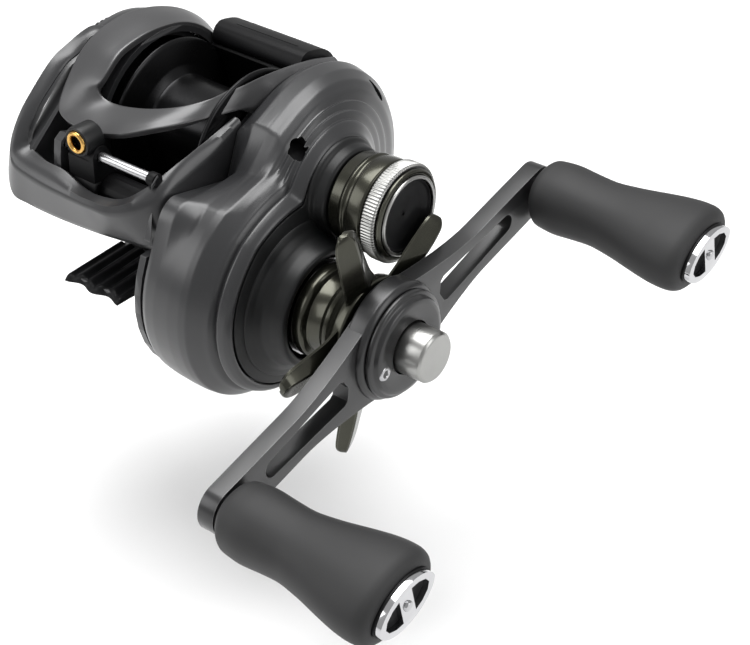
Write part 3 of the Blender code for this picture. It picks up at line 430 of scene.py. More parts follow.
def line_reach(point, normal, centre, angles):
    """Distance from centre, along each angle, to the line through point with outward normal."""
    facing = np.cos(angles) * normal[0] + np.sin(angles) * normal[1]
    offset = (point[0] - centre[0]) * normal[0] + (point[1] - centre[1]) * normal[1]
    return np.where(facing > GRAZING, offset / np.maximum(facing, GRAZING), FAR)


def cut(target, tool, operation="DIFFERENCE"):
    """Boolean of a helper object on a piece, applied at once."""
    step = target.modifiers.new("cut", "BOOLEAN")
    step.object = tool
    step.operation = operation
    step.solver = "EXACT"
    view = bpy.context.evaluated_depsgraph_get()
    mesh = bpy.data.meshes.new_from_object(target.evaluated_get(view))
    target.modifiers.remove(step)
    target.data = mesh
    bpy.data.objects.remove(tool, do_unlink=True)
    mesh.shade_smooth()
    mesh.set_sharp_from_angle(angle=math.radians(SHARP_EDGE))


def helper(mesh, finish):
    """Cutting tool; the walls it leaves take its finish."""
    made = bpy.data.objects.new("cutter", mesh)
    mesh.materials.append(FINISH[finish])
    bpy.context.scene.collection.objects.link(made)
    return made


# ---- gear-side case

# X, drum radius, hump centre Y and Z, hump radius, worm bulge radius, notch depth, hull share
CASE_PROFILE = np.array((
    (13.3, 21.4, 9.0, 12.0, 20.3, 5.6, 1.00, 1.0),
    (14.2, 21.8, 9.0, 12.0, 21.1, 5.6, 1.00, 1.0),
    (16.5, 22.1, 9.0, 12.0, 22.3, 5.6, 0.60, 1.0),
    (20.0, 22.3, 8.2, 12.4, 21.7, 4.4, 0.35, 0.9),
    (22.6, 22.3, 7.0, 13.2, 20.2, 2.8, 0.25, 0.7),
    (24.2, 22.1, 6.0, 14.0, 18.2, 2.4, 0.15, 0.6),
    (24.9, 21.6, 5.0, 15.0, 16.0, 2.2, 0.10, 0.5),
    (25.9, 20.9, 4.2, 15.6, 16.1, 2.0, 0.05, 0.4),
    (26.6, 20.4, 3.2, 16.5, 13.9, 2.0, 0.00, 0.4),
    (27.6, 19.8, 2.4, 17.1, 14.0, 2.0, 0.00, 0.3),
    (28.3, 19.4, 1.4, 17.9, 12.1, 2.0, 0.00, 0.3),
    (29.2, 19.3, 0.8, 18.3, 12.1, 2.0, 0.00, 0.3),
    (30.2, 18.9, 0.2, 18.6, 10.9, 2.0, 0.00, 0.2),
    (31.0, 18.2, 0.0, 18.6, 10.2, 2.0, 0.00, 0.2),
))
CASE_CENTRE = (-6.0, 8.0)
CASE_RIM_X = 31.0
CASE_STEPS = 288
CASE_RING_PITCH = 0.22
FILLET_POWER = 16.0
NOTCH_FOOT = (-10.5, 18.6)
NOTCH_FRONT, NOTCH_REAR = (0.210, 0.978), (-0.934, 0.356)
GROOVE_X, GROOVE_DEPTH, GROOVE_WIDTH = 28.3, 0.9, 0.45
GROOVE_FROM, GROOVE_TO = 108, 250
RIM_WIDTH = 0.9
COVER_GAP = 0.35


def case_column(x, column, blur=0.22):
    """Profile column at x, slightly blurred along X so that ridges are rounded."""
    offsets = np.linspace(-2, 2, 9)
    weights = np.exp(-offsets ** 2)
    values = [np.interp(x + blur * o, CASE_PROFILE[:, 0], CASE_PROFILE[:, column]) for o in offsets]
    return float(np.average(values, weights=weights))


def case_reach(x, angles):
    """Radius of the case about CASE_CENTRE at position x."""
    drum, hump_y, hump_z, hump_r, bulge, notch, share = (case_column(x, k) for k in range(1, 8))
    discs = ((DRIVE, drum), ((hump_y, hump_z), hump_r), (WORM, bulge))
    hull = hull_reach(discs, CASE_CENTRE, angles)
    fillet = sum(disc_reach(disc, CASE_CENTRE, angles) ** FILLET_POWER for disc in discs[:2])
    fillet = fillet ** (1 / FILLET_POWER)
    full = hull * share + np.minimum(fillet, hull) * (1 - share)
    front = np.minimum(hull_reach((discs[0], discs[2]), CASE_CENTRE, angles),
                       line_reach(NOTCH_FOOT, NOTCH_FRONT, CASE_CENTRE, angles))
    rear = np.minimum(hull_reach(discs[:2], CASE_CENTRE, angles),
                      line_reach(NOTCH_FOOT, NOTCH_REAR, CASE_CENTRE, angles))
    reach = full * (1 - notch) + np.minimum(np.maximum(front, rear), full) * notch
    return reach - groove_depth(x, angles)


def groove_depth(x, angles):
    """Narrow groove round the drum, fading towards the boss and the underside."""
    about = np.degrees(angles) % 360
    window = 1 / (1 + np.exp(-(about - GROOVE_FROM) / 4)) / (1 + np.exp((about - GROOVE_TO) / 10))
    return GROOVE_DEPTH * np.exp(-((x - GROOVE_X) / GROOVE_WIDTH) ** 2) * window


def case_ring(x, at, inset, angles):
    """Ring at x that takes the case's outline at another X, moved inwards by inset."""
    return ring_about_x(x, CASE_CENTRE, case_reach(at, angles) - inset, angles)


def make_gear_side_case():
    angles = np.linspace(0, TAU, CASE_STEPS, endpoint=False)
    rings = [case_ring(13.1, 13.3, 1.6, angles), case_ring(13.1, 13.3, 0.35, angles)]
    rings += [case_ring(x, x, 0.0, angles) for x in np.arange(13.35, CASE_RIM_X - 0.1, CASE_RING_PITCH)]
    rings += [case_ring(CASE_RIM_X + 0.1, CASE_RIM_X, 0.12, angles),
              case_ring(CASE_RIM_X + 0.22, CASE_RIM_X, 0.4, angles),
              case_ring(CASE_RIM_X + 0.22, CASE_RIM_X, RIM_WIDTH - 0.2, angles),
              case_ring(CASE_RIM_X + 0.1, CASE_RIM_X, RIM_WIDTH, angles),
              case_ring(CASE_RIM_X - 1.2, CASE_RIM_X, RIM_WIDTH + 0.02, angles)]
    case = piece("gear_side_case_shell", skin(rings), "gear_side_case")
    case.data.materials.append(FINISH["black_coat"])
    cut(case, kidney_hole())
    cut(case, keyhole())
    return case


def pocket(centre, outward, lobes, depth):
    """Cutter made of short posts along outward; lobes are (side, up, radius) about centre."""
    outward = Vector(outward).normalized()
    side = outward.cross(Vector((0, 0, 1))).normalized()
    up = side.cross(outward).normalized()
    outline = lobe_outline(lobes)
    rings = []
    for level, grow in ((-depth, 1.0), (-0.6, 1.0), (0.4, 1.025), (3.0, 1.03)):
        ring = [Vector(centre) + outward * level + side * (u * grow) + up * (v * grow) for u, v in outline]
        rings.append([tuple(p) for p in ring])
    return helper(skin(rings), "black_coat")


def lobe_outline(lobes, count=64):
    """Outline of overlapping discs seen from their middle, slightly smoothed."""
    centre = np.mean([(u, v) for u, v, r in lobes], axis=0)
    angles = np.linspace(0, TAU, count, endpoint=False)
    reach = np.max([disc_reach(((u, v), r), centre, angles) for u, v, r in lobes], axis=0)
    reach = (np.roll(reach, 1) + 2 * reach + np.roll(reach, -1)) / 4
    return [(centre[0] + r * math.cos(a), centre[1] + r * math.sin(a)) for a, r in zip(angles, reach)]


def kidney_hole():
    lobes = [(0.0, 1.9, 0.62), (0.12, 1.2, 0.75), (0.18, 0.4, 0.85), (0.18, -0.4, 0.85), (0.1, -1.2, 0.75),
             (-0.05, -1.9, 0.6)]
    return pocket((21.6, 20.2, 25.9), (0.55, 0.55, 0.62), lobes, 3.0)


def keyhole():
    lobes = [(-0.2, 1.1, 1.35), (0.35, -0.2, 1.4), (0.1, -1.5, 1.0), (-0.7, 0.2, 1.2)]
    return pocket((25.6, -5.4, 26.0), (0.5, -0.35, 0.79), lobes, 1.0)


def make_gear_cover():
    """Cover plate inside the case rim, with the flared clutch housing and the tension boss."""
    angles = np.linspace(0, TAU, CASE_STEPS, endpoint=False)
    inset = RIM_WIDTH + COVER_GAP
    face_x = CASE_RIM_X + 0.35
    rings = [case_ring(CASE_RIM_X - 1.1, CASE_RIM_X, inset, angles),
             case_ring(face_x - 0.3, CASE_RIM_X, inset, angles),
             case_ring(face_x - 0.08, CASE_RIM_X, inset + 0.1, angles),
             case_ring(face_x, CASE_RIM_X, inset + 0.35, angles),
             case_ring(face_x + 0.5, CASE_RIM_X, inset + 2.4, angles),
             case_ring(face_x + 0.6, CASE_RIM_X, inset + 5.0, angles)]
    piece("gear_cover_plate", skin(rings), "gear_cover", finish="cover")
    top = span("gear_cover", 0)[1] - 0.9
    housing = [(30.2, 9.6), (30.2, 15.2), (32.1, 15.2), (32.6, 13.8), (33.6, 12.7), (35.0, 12.1),
               (top - 0.7, 11.7), (top - 0.15, 11.45), (top, 11.1), (top, 10.3), (top - 0.6, 9.9)]
    extra("clutch_housing", turned(DRIVE, housing, 192, 0.3), "gear_cover", finish="cover", sharp=40)
    boss = [(30.2, 2.7), (30.2, 9.9), (31.9, 9.7), (32.4, 9.0), (34.2, 8.7), (34.6, 8.3), (34.6, 5.0),
            (38.6, 5.0), (38.6, 2.7)]
    extra("tension_boss", turned(SPOOL, boss, 160, 0.3), "gear_cover", finish="cover")


# ---- front nose

# Upper edge, fold and lower edge of the cover, from the palm-side arch round the front to the gear-side seam
NOSE_EDGES = (
    ((-19.6, -6.6, 36.0), (-21.4, -4.6, 36.6), (-23.0, -4.2, 35.2)),
    ((-20.8, -9.1, 36.2), (-23.0, -7.6, 36.9), (-24.6, -7.6, 35.6)),
    ((-21.2, -12.2, 34.0), (-24.0, -12.9, 34.8), (-25.0, -13.0, 33.3)),
    ((-21.5, -15.7, 32.6), (-24.0, -17.0, 33.2), (-25.0, -16.5, 31.8)),
    ((-21.5, -21.3, 28.6), (-24.0, -22.6, 28.8), (-25.0, -22.1, 27.4)),
    ((-21.5, -24.1, 25.8), (-24.0, -26.0, 25.4), (-25.0, -25.7, 22.8)),
    ((-21.4, -26.2, 22.8), (-23.4, -29.0, 21.4), (-24.9, -28.7, 16.4)),
    ((-20.4, -26.9, 20.7), (-21.4, -30.8, 18.6), (-23.1, -30.1, 11.3)),
    ((-15.2, -28.3, 20.2), (-16.3, -31.6, 17.7), (-18.6, -30.2, 10.5)),
    ((-10.4, -28.4, 20.0), (-11.0, -32.0, 17.5), (-11.6, -30.1, 10.3)),
    ((-4.7, -29.3, 18.9), (-4.5, -32.1, 17.4), (-4.2, -29.6, 10.3)),
    ((-0.6, -29.4, 18.7), (-1.0, -32.0, 17.4), (0.4, -29.3, 10.5)),
    ((4.6, -28.9, 19.6), (3.6, -31.5, 17.3), (5.6, -28.7, 10.8)),
    ((8.3, -27.2, 22.0), (8.2, -30.0, 18.9), (10.4, -28.2, 11.6)),
    ((9.9, -23.7, 23.9), (11.6, -26.4, 21.6), (12.9, -27.4, 16.8)),
    ((10.8, -19.7, 25.5), (12.4, -20.8, 23.2), (13.1, -22.6, 17.8)),
    ((11.2, -14.5, 26.8), (12.8, -14.8, 24.6), (13.1, -16.0, 18.0)),
    ((11.4, -10.1, 27.9), (13.0, -10.0, 26.4), (13.1, -9.6, 18.6)),
    ((11.6, -6.3, 29.0), (13.0, -6.0, 28.2), (13.1, -7.0, 24.6)),
)
NOSE_WALL = 0.7
NOSE_FLOOR = (7, 13)      # first and last row of NOSE_EDGES with a floor behind the chin
NOSE_MIDDLE = (-5.0, -12.0)
EDGE_STEPS = 6            # rings between two rows of edge points


def nose_inward(point):
    """Step of one wall thickness towards the middle of the line window."""
    step = Vector((NOSE_MIDDLE[0] - point[0], NOSE_MIDDLE[1] - point[1], 0.0)).normalized() * NOSE_WALL
    return np.asarray(point) + np.asarray(step)


def make_nose_cover():
    """One wrapped strip: palm-side rail, chin with a soft fold, and gear-side cheek."""
    count = EDGE_STEPS * (len(NOSE_EDGES) - 1) + 1
    lip, fold, low = (through([row[k] for row in NOSE_EDGES], count) for k in range(3))
    rings = []
    for k, (a, f, b) in enumerate(zip(lip, fold, low)):
        at = k / EDGE_STEPS
        chin = min(1.0, max(0.0, min(at - NOSE_FLOOR[0] + 1, NOSE_FLOOR[1] + 1 - at)))
        under = b - 0.5 * UP
        back = nose_inward(b) * (1 - chin) + np.array((0.93 * b[0], -22.2, 8.6)) * chin
        rise = 1.3 * chin * UP
        sill = 0.7 * a + 0.3 * f + 0.28 * UP
        upper = 0.3 * a + 0.7 * f + 0.10 * (f - b)
        belly = 0.5 * f + 0.5 * b - 0.05 * (nose_inward(b) - b)
        rings.append([
            a - 0.3 * UP, a, 0.85 * a + 0.15 * f + 0.16 * UP, sill, upper, 0.1 * a + 0.9 * f + 0.03 * (f - b),
            f, 0.88 * f + 0.12 * b, belly, 0.12 * f + 0.88 * b, b, 0.5 * b + 0.5 * under + 0.1 * (back - b),
            under * chin + b * (1 - chin) + 0.16 * (back - b), back, back + rise,
            nose_inward(b) + rise + 0.1 * (f - b), nose_inward(0.5 * (f + b)),
            nose_inward(f) - 0.8 * UP, nose_inward(a) - 0.6 * UP])
    piece("nose_shell", skin(rings), "nose_cover", sharp=50)


# ---- line guide

GUIDE_STEPS = 72
GUIDE_CENTRE = (-24.4, 19.6)
GUIDE_DISCS = ((WORM, 3.9), (ROD, 2.0))


def eye_tube(profile, angles):
    """Tube about the line eye's own axis, which runs along Y, from a closed (y, radius) profile."""
    eye_x, eye_z = (sum(span("guide_ring", axis)) / 2 for axis in (0, 2))
    c, s = np.cos(angles), np.sin(angles)
    rings = [np.stack([eye_x + r * c, np.full(len(angles), y), eye_z + r * s], axis=1) for y, r in profile]
    return skin(rings, joined=True)


def make_line_guide():
    """Guide block that rides the rod, with a round housing about the eye and a shoulder below."""
    x0, x1 = span("line_guide", 0)
    angles = np.linspace(0, TAU, GUIDE_STEPS, endpoint=False)
    reach = hull_reach(GUIDE_DISCS, GUIDE_CENTRE, angles)
    body = [(GUIDE_CENTRE[0] + r * math.cos(a), GUIDE_CENTRE[1] + r * math.sin(a))
            for a, r in zip(angles, reach)]
    block = plate([body, circle(WORM, 3.45, 64), circle(ROD, 1.05, 40)], x0,
                       x1 - 1.5, 0.25, 3)
    piece("guide_block", block, "line_guide", sharp=50)
    front = span("line_guide", 1)[0]
    barrel = ((-23.8, 1.35), (-23.8, 2.4), (-24.2, 2.8), (front + 0.7, 2.95), (front + 0.15, 2.8),
              (front, 2.55), (front + 0.1, 2.3), (front + 1.2, 2.25), (front + 1.25, 1.35))
    extra("guide_barrel", eye_tube(barrel, angles), "line_guide", finish="cover")
    front = span("guide_ring", 1)[0]
    lining = ((-27.6, 1.3), (-27.6, 2.15), (front + 0.35, 2.2), (front + 0.05, 1.95), (front, 1.7),
              (front + 0.15, 1.42), (front + 0.6, 1.3))
    piece("guide_eye_ring", eye_tube(lining, angles), "guide_ring", sharp=60)
    shoulder = plate([[(-28.0, 12.6), (-28.2, 18.0), (-27.4, 19.4), (-26.0, 19.0), (-26.0, 12.4)]],
                          x0 + 1.0, x1 - 1.0, 0.5, 3)
    extra("guide_shoulder", shoulder, "line_guide", sharp=50)


ROD_END = 9.0


def make_guide_rod():
    """Polished rod between the palm-side ring and its seat behind the cover's edge."""
    x0 = span("guide_rod", 0)[0]
    rod = [(x0, 0.0), (x0, 0.95), (ROD_END, 0.95), (ROD_END, 0.0)]
    piece("guide_rod_polished", turned(ROD, rod, 48, 0.1), "guide_rod")
    seat = [(8.7, 0.0), (8.7, 1.1), (ROD_END, 1.35), (10.6, 1.35), (10.6, 0.0)]
    extra("guide_rod_seat", turned(ROD, seat, 48, 0.15), "guide_rod",
          finish="black_coat")


# ---- hood

# Outer and inner edge of the arm, from behind the spool round the front to the palm-side arch
HOOD_ARM = (
    ((12.9, 22.0, 29.6), (11.2, 22.6, 30.0)),
    ((12.9, 16.5, 30.9), (11.2, 16.6, 31.8)),
    ((12.9, 10.0, 31.9), (11.2, 10.0, 33.0)),
    ((12.9, 4.0, 31.4), (11.2, 4.5, 33.7)),
    ((12.7, 0.0, 29.3), (11.2, 0.5, 34.0)),
    ((12.0, -3.6, 29.7), (10.9, -3.6, 33.9)),
    ((11.2, -7.5, 30.1), (9.6, -7.2, 33.3)),
    ((9.4, -12.0, 30.2), (7.6, -10.2, 32.5)),
    ((6.6, -16.0, 29.7), (5.0, -12.6, 31.7)),
    ((3.0, -19.2, 29.0), (2.2, -14.2, 31.0)),
    ((-1.5, -21.8, 27.7), (-1.5, -15.4, 30.2)),
    ((-6.0, -22.8, 26.6), (-5.5, -16.2, 29.6)),
    ((-10.5, -23.2, 26.2), (-8.6, -16.5, 29.4)),
    ((-15.4, -22.6, 26.2), (-11.0, -16.7, 29.9)),
    ((-18.6, -20.8, 27.6), (-12.3, -16.7, 31.2)),
)
# Outer X, outer radius, degrees about the spool, inner radius
HOOD_ARCH = (
    (-20.0, 20.9, 138, 21.4), (-20.2, 20.6, 122, 21.0), (-19.8, 20.2, 106, 19.7), (-19.2, 20.0, 90, 18.9),
    (-18.4, 20.0, 72, 18.7), (-17.6, 20.5, 54, 18.7), (-16.8, 21.2, 36, 18.8), (-16.2, 21.6, 18, 18.9),
    (-15.6, 21.3, 6, 19.2), (-14.6, 20.8, -3, 19.6),
)
HOOD_INNER_X = -11.7
HOOD_PLUMB = 5            # row of HOOD_ARM where the thickness stops being upright
HOOD_THICK = 1.3
HOOD_MIDDLE = (-2.0, 0.0, 16.0)


def on_spool_ring(x, radius, degrees):
    angle = math.radians(degrees)
    return (x, SPOOL[0] + radius * math.cos(angle), SPOOL[1] + radius * math.sin(angle))


def make_hood():
    """Loop over the spool: arm, front band and palm-side arch, as one crowned strip."""
    edges = list(HOOD_ARM)
    edges += [(on_spool_ring(x, r, a), on_spool_ring(HOOD_INNER_X, inner, a)) for x, r, a, inner in HOOD_ARCH]
    stations = EDGE_STEPS * (len(edges) - 1) + 1
    outer = through([o for o, i in edges], stations)
    inner = through([i for o, i in edges], stations)
    along = np.gradient(outer + inner, axis=0)
    across = inner - outer
    up = np.cross(along, across)
    up /= np.linalg.norm(up, axis=1)[:, None]
    flip = ((outer + inner) / 2 - np.array(HOOD_MIDDLE)) * up
    up[flip.sum(axis=1) < 0] *= -1
    plumb = np.clip((np.linspace(0, len(edges) - 1, stations) - HOOD_PLUMB + 0.5), 0, 1)[:, None]
    thick = HOOD_THICK * (up * plumb + UP * (1 - plumb))
    width = np.linalg.norm(across, axis=1)[:, None]
    side = across / width
    rings = []
    for o, i, t, s, w in zip(outer, inner, thick, side, width):
        crown = min(0.03 * w[0], 0.2) * t / HOOD_THICK
        rings.append([o - 0.6 * t, o - 0.22 * t + 0.02 * s, o - 0.06 * t + 0.1 * s, o + 0.3 * s, o + 0.5 * s,
                      o + 0.25 * w * s + 0.7 * crown, (o + i) / 2 + crown, i - 0.25 * w * s + 0.7 * crown,
                      i - 0.5 * s, i - 0.3 * s, i - 0.06 * t - 0.1 * s, i - 0.22 * t - 0.02 * s, i - 0.6 * t,
                      i - t - 0.1 * s, i - t - 0.5 * s, o - t + 0.5 * s, o - t + 0.1 * s])
    piece("hood_shell", skin(rings), "hood", sharp=38)


# ---- palm side

# X, ring radius, front lobe centre Y and Z, lobe radius
PALM_PROFILE = (
    (-13.7, 18.1, -12.0, 15.0, 4.0), (-18.6, 18.1, -12.0, 15.0, 4.0), (-19.2, 18.6, -24.3, 15.3, 5.6),
    (-19.8, 18.7, -24.5, 15.3, 5.9), (-22.0, 18.6, -24.2, 15.3, 5.7), (-23.4, 18.2, -23.2, 15.3, 5.1),
    (-24.0, 17.7, -22.2, 15.3, 4.3),
)
PALM_BORE = 17.1
LOCK_TEETH, LOCK_TOOTH_DEPTH = 80, 0.32


def palm_column(x, column):
    table = np.array(PALM_PROFILE)[::-1]
    return float(np.interp(x, table[:, 0], table[:, column]))


def make_palm_side():
    """Palm-side ring with its front lobe, the domed side plate and the knurled lock ring."""
    angles = np.linspace(0, TAU, 240, endpoint=False)
    stops = [row[0] for row in PALM_PROFILE]
    rings = []
    for x in np.concatenate([np.linspace(a, b, 5)[:-1] for a, b in zip(stops, stops[1:])] + [stops[-1:]]):
        radius, lobe_y, lobe_z, lobe_r = (palm_column(x, k) for k in range(1, 5))
        reach = hull_reach(((SPOOL, radius), ((lobe_y, lobe_z), lobe_r)), SPOOL, angles)
        rings.append(ring_about_x(x, SPOOL, reach, angles))
    rings += [ring_about_x(x, SPOOL, PALM_BORE, angles) for x in (stops[-1], stops[0])]
    piece("palm_side_shell", skin(rings, joined=True), "palm_side_case")
    plate_profile = [(-29.4, 6.8), (-29.2, 11.2), (-28.9, 12.2), (-28.3, 12.9), (-27.6, 13.4), (-24.4, 14.6),
                     (-24.3, 16.7), (-14.0, 16.7), (-14.0, 15.4), (-23.0, 15.2), (-24.0, 13.4), (-26.6, 12.0),
                     (-25.8, 5.6), (-15.2, 5.4), (-15.2, 4.2), (-18.0, 4.2), (-18.0, 2.2), (-19.0, 2.2),
                     (-19.0, 3.6), (-26.6, 3.6), (-26.8, 5.2), (-26.8, 6.4), (-28.6, 6.4)]
    piece("side_plate_shell", turned(SPOOL, plate_profile, 160, 0.2), "side_plate")
    knurl = [(-27.2, 14.8), (-27.2, 15.6), (-26.8, 16.0), (-24.8, 16.5), (-24.4, 16.2), (-24.4, 14.8)]
    ring = turned(SPOOL, knurl, 640, 0.12,
                       lambda x, r, a: -LOCK_TOOTH_DEPTH * (r > 15.4) * wave(LOCK_TEETH * a) ** 2)
    piece("lock_ring_knurled", ring, "lock_ring", sharp=50)


# ---- spool

def make_spool():
    """Spool with rounded flanges; it is open towards the brake side."""
    profile = [(-10.7, 8.6), (-10.7, 15.7), (-10.45, 16.2), (-9.95, 16.2), (-9.7, 15.6), (-8.5, 11.4),
               (-7.6, 9.7),
               (-6.9, 9.6), (6.9, 9.6), (7.6, 9.7), (8.5, 11.4), (9.7, 15.6), (9.95, 16.2), (10.45, 16.2),
               (10.7, 15.7), (10.7, 8.8), (5.6, 8.2), (5.2, 1.7), (-3.4, 1.7), (-4.6, 8.2)]
    piece("spool_turned", turned(SPOOL, profile, 192, 0.2), "spool", sharp=40)


# ---- tension knob, star

GRIP_TEETH, GRIP_TOOTH_DEPTH = 96, 0.17


def make_tension_knob():
    x0, x1 = span("tension_cap", 0)
    cap = [(x0, 5.3), (x0, 8.1), (x0 + 0.3, 8.4), (37.4, 8.5), (37.9, 8.9), (38.3, 8.9), (38.6, 8.6),
           (39.2, 8.6),
           (39.6, 9.0), (42.2, 9.0), (42.6, 8.6), (42.7, 7.9), (45.9, 7.9), (46.0, 8.6), (46.4, 8.6),
           (46.6, 8.0),
           (46.6, 7.7), (46.0, 7.4), (45.7, 5.0), (45.6, 0.3), (40.5, 0.3), (40.4, 5.3)]
    piece("tension_cap_turned", turned(SPOOL, cap, 192, 0.16), "tension_cap")
    dish = [(45.65, 0.3), (45.75, 5.0), (46.05, 6.4), (46.6, 6.75), (46.0, 7.0), (44.8, 7.0), (44.8, 0.3)]
    extra("tension_dish", turned(SPOOL, dish, 160, 0.2), "tension_cap",
          finish="black_coat")
    grip = [(42.9, 8.05), (42.9, 9.1), (43.2, 9.4), (45.5, 9.4), (45.8, 9.1), (45.8, 8.05)]
    ring = turned(SPOOL, grip, 960, 0.1,
                       lambda x, r, a: -GRIP_TOOTH_DEPTH * (r > 8.6) * wave(GRIP_TEETH * a))
    piece("tension_grip_knurled", ring, "tension_grip_ring", sharp=60)
    trim = [(46.5, 6.9), (46.6, 7.6), (46.95, 7.55), (47.1, 7.3), (47.0, 6.95)]
    piece("tension_trim", turned(SPOOL, trim, 160, 0.08), "tension_trim_ring")


STAR_ARMS = 5
STAR_ANGLE = math.radians(36.0)
STAR_EDGE_X = 48.3
# radius, trailing edge and leading edge in degrees, crease position, top X at the crease
STAR_STATIONS = (
    (7.6, -40, 30, 0.5, 49.0), (9.6, -31, 23, 0.48, 49.2), (12.4, -18.5, 16.0, 0.46, 49.4),
    (15.5, -13.0, 12.4, 0.44, 49.6), (18.5, -10.2, 9.6, 0.42, 49.7), (21.0, -8.4, 7.8, 0.40, 49.6),
    (22.8, -6.6, 5.8, 0.40, 49.4), (23.7, -3.9, 3.4, 0.42, 49.0), (24.0, -1.2, 1.2, 0.45, 48.7),
)


def star_section(centre, radius, low, high, crease, top):
    """Section of an arm at one radius: points at a share of its width and an X height."""
    fold = top - STAR_EDGE_X
    section = ((0.0, 47.9), (0.03, 48.25), (0.12, 48.45), (crease - 0.08, top - 0.06 * fold), (crease, top),
               (crease + 0.06, top - 0.12 * fold), (0.9, 48.3), (0.98, 48.1), (1.0, 47.8), (0.9, 47.5),
               (0.5, 47.7), (0.1, 47.5))
    angles = [centre + math.radians(low + (high - low) * share) for share, x in section]
    return [(x, DRIVE[0] + radius * math.cos(a), DRIVE[1] + radius * math.sin(a))
            for a, (share, x) in zip(angles, section)]


def star_arm(index):
    """One leaf-shaped arm, creased along its length."""
    centre = STAR_ANGLE + TAU * index / STAR_ARMS
    rings = [star_section(centre, *row) for row in through(STAR_STATIONS, 40)]
    return skin(rings)


def make_star():
    x0, x1 = span("star_drag", 0)
    bore = 3.2
    hub = [(x0, bore), (x0, 8.6), (x0 + 0.3, 9.0), (39.3, 9.0), (39.7, 8.6), (39.9, 7.7), (42.8, 7.6),
           (43.4, 8.0),
           (44.6, 8.1), (45.0, 8.9), (46.4, 9.3), (46.9, 10.1), (48.8, 10.3), (49.2, 9.9), (49.3, 8.6),
           (49.0, 8.2),
           (49.3, 7.8), (49.5, bore)]
    piece("star_hub", turned(DRIVE, hub, 192, 0.2), "star_drag")
    for index in range(STAR_ARMS):
        extra("star_arm_%d" % index, star_arm(index), "star_drag", sharp=22)


# ---- handle

def crank_point(radius, offset, direction):
    """Point at a distance along the crank and to one side; direction is +1 or -1."""
    along = (math.cos(CRANK_ANGLE) * direction, math.sin(CRANK_ANGLE) * direction)
    return (DRIVE[0] + radius * along[0] - offset * along[1],
            DRIVE[1] + radius * along[1] + offset * along[0])


ARM_HALF_WIDTH, ARM_FLARE, ARM_FLARE_END = 4.5, 6.2, 26.0
SLOT_START, SLOT_END, SLOT_HALF_WIDTH = 14.5, 34.0, 1.9
CRANK_FACE_X = 53.7
RETAINER_SCREW_R = 7.4


def arm_half_width(radius):
    return ARM_HALF_WIDTH + ARM_FLARE * max(0.0, 1 - radius / ARM_FLARE_END) ** 1.5


def crank_outline():
    points, half = [], ARM_HALF_WIDTH
    for direction in (1, -1):
        runs = np.linspace(3, 41, 20)
        points += [crank_point(r, -arm_half_width(r), direction) for r in runs]
        for a in np.radians(np.linspace(-84, 84, 25)):
            points.append(crank_point(CRANK_R + half * math.cos(a), half * math.sin(a), direction))
        points += [crank_point(r, arm_half_width(r), direction) for r in runs[::-1]]
    return points


def crank_slot(direction):
    """Elongated tapering opening in one arm."""
    start, half = SLOT_START, SLOT_HALF_WIDTH
    points = [crank_point(SLOT_END + half * math.cos(a), half * math.sin(a), direction)
              for a in np.radians(np.linspace(-80, 80, 13))]
    points += [crank_point(start + 0.6, 2.9, direction), crank_point(start - 0.3, 2.4, direction),
               crank_point(start - 1.2, 0.0, direction), crank_point(start - 0.3, -2.4, direction),
               crank_point(start + 0.6, -2.9, direction)]
    return points


def make_handle():
    x0, x1 = span("handle_arm", 0)
    arm = plate([crank_outline(), crank_slot(1), crank_slot(-1)], x0, CRANK_FACE_X, 0.55, 4)
    piece("crank_arm", arm, "handle_arm", sharp=40)
    hub = [(x0 + 0.2, 2.7), (x0 + 0.2, 11.0), (x0 + 0.5, 11.2), (54.0, 11.2), (54.5, 10.9), (x1, 10.3),
           (x1, 2.7)]
    extra("crank_hub", turned(DRIVE, hub, 192, 0.25), "handle_arm")
    r0, r1 = span("nut_retainer", 0)
    cap = [(r0, 5.1), (r0, 10.2), (r0 + 0.4, 10.3), (r0 + 0.9, 10.1), (r0 + 1.1, 9.4), (r0 + 1.35, 9.3),
           (r0 + 1.9, 9.0), (r1, 8.2), (r1, 5.1)]
    piece("nut_retainer_cap", turned(DRIVE, cap, 192, 0.18), "nut_retainer")
    screw = [(r0, 0.0), (r0, 1.5), (r1 - 0.2, 1.5), (r1 + 0.1, 1.25), (r1 + 0.15, 0.8), (r1 - 0.15, 0.55),
             (r1 - 0.2, 0.0)]
    extra("retainer_screw", turned(crank_point(RETAINER_SCREW_R, 0.0, -1), screw, 48, 0.06), "nut_retainer",
          finish="steel")
    n0, n1 = span("handle_nut", 0)
    nut = [(n0, 0.0), (n0, 4.8), (n1 - 0.55, 4.8), (n1 - 0.1, 4.4), (n1, 4.1), (n1, 0.0)]
    piece("handle_nut_turned", turned(DRIVE, nut, 128, 0.08), "handle_nut")


# ---- knobs

KNOB_SHARES = (0, 0.015, 0.04, 0.15, 0.28, 0.4, 0.55, 0.7, 0.8, 0.88, 0.94, 0.975, 0.993, 1)
KNOB_ALONG = (4.9, 5.7, 6.3, 6.8, 6.5, 6.35, 7.3, 8.6, 9.35, 9.7, 9.6, 9.2, 8.6, 7.9)
KNOB_ACROSS = (4.9, 5.6, 6.2, 6.5, 6.0, 5.7, 5.9, 6.2, 6.4, 6.4, 6.3, 5.9, 5.4, 4.7)
KNOB_STEPS = 96
KNOB_SQUARENESS = 0.9
CAP_HALF_LENGTH, CAP_HALF_WIDTH = 7.6, 4.4
# One of the two D-shaped windows beside the straight bar of the end cap, along and across the crank
CAP_OPENING = ((1.6, -2.7), (3.4, -2.3), (5.0, -1.3), (5.6, 0.0), (5.0, 1.3), (3.4, 2.3), (1.6, 2.7))


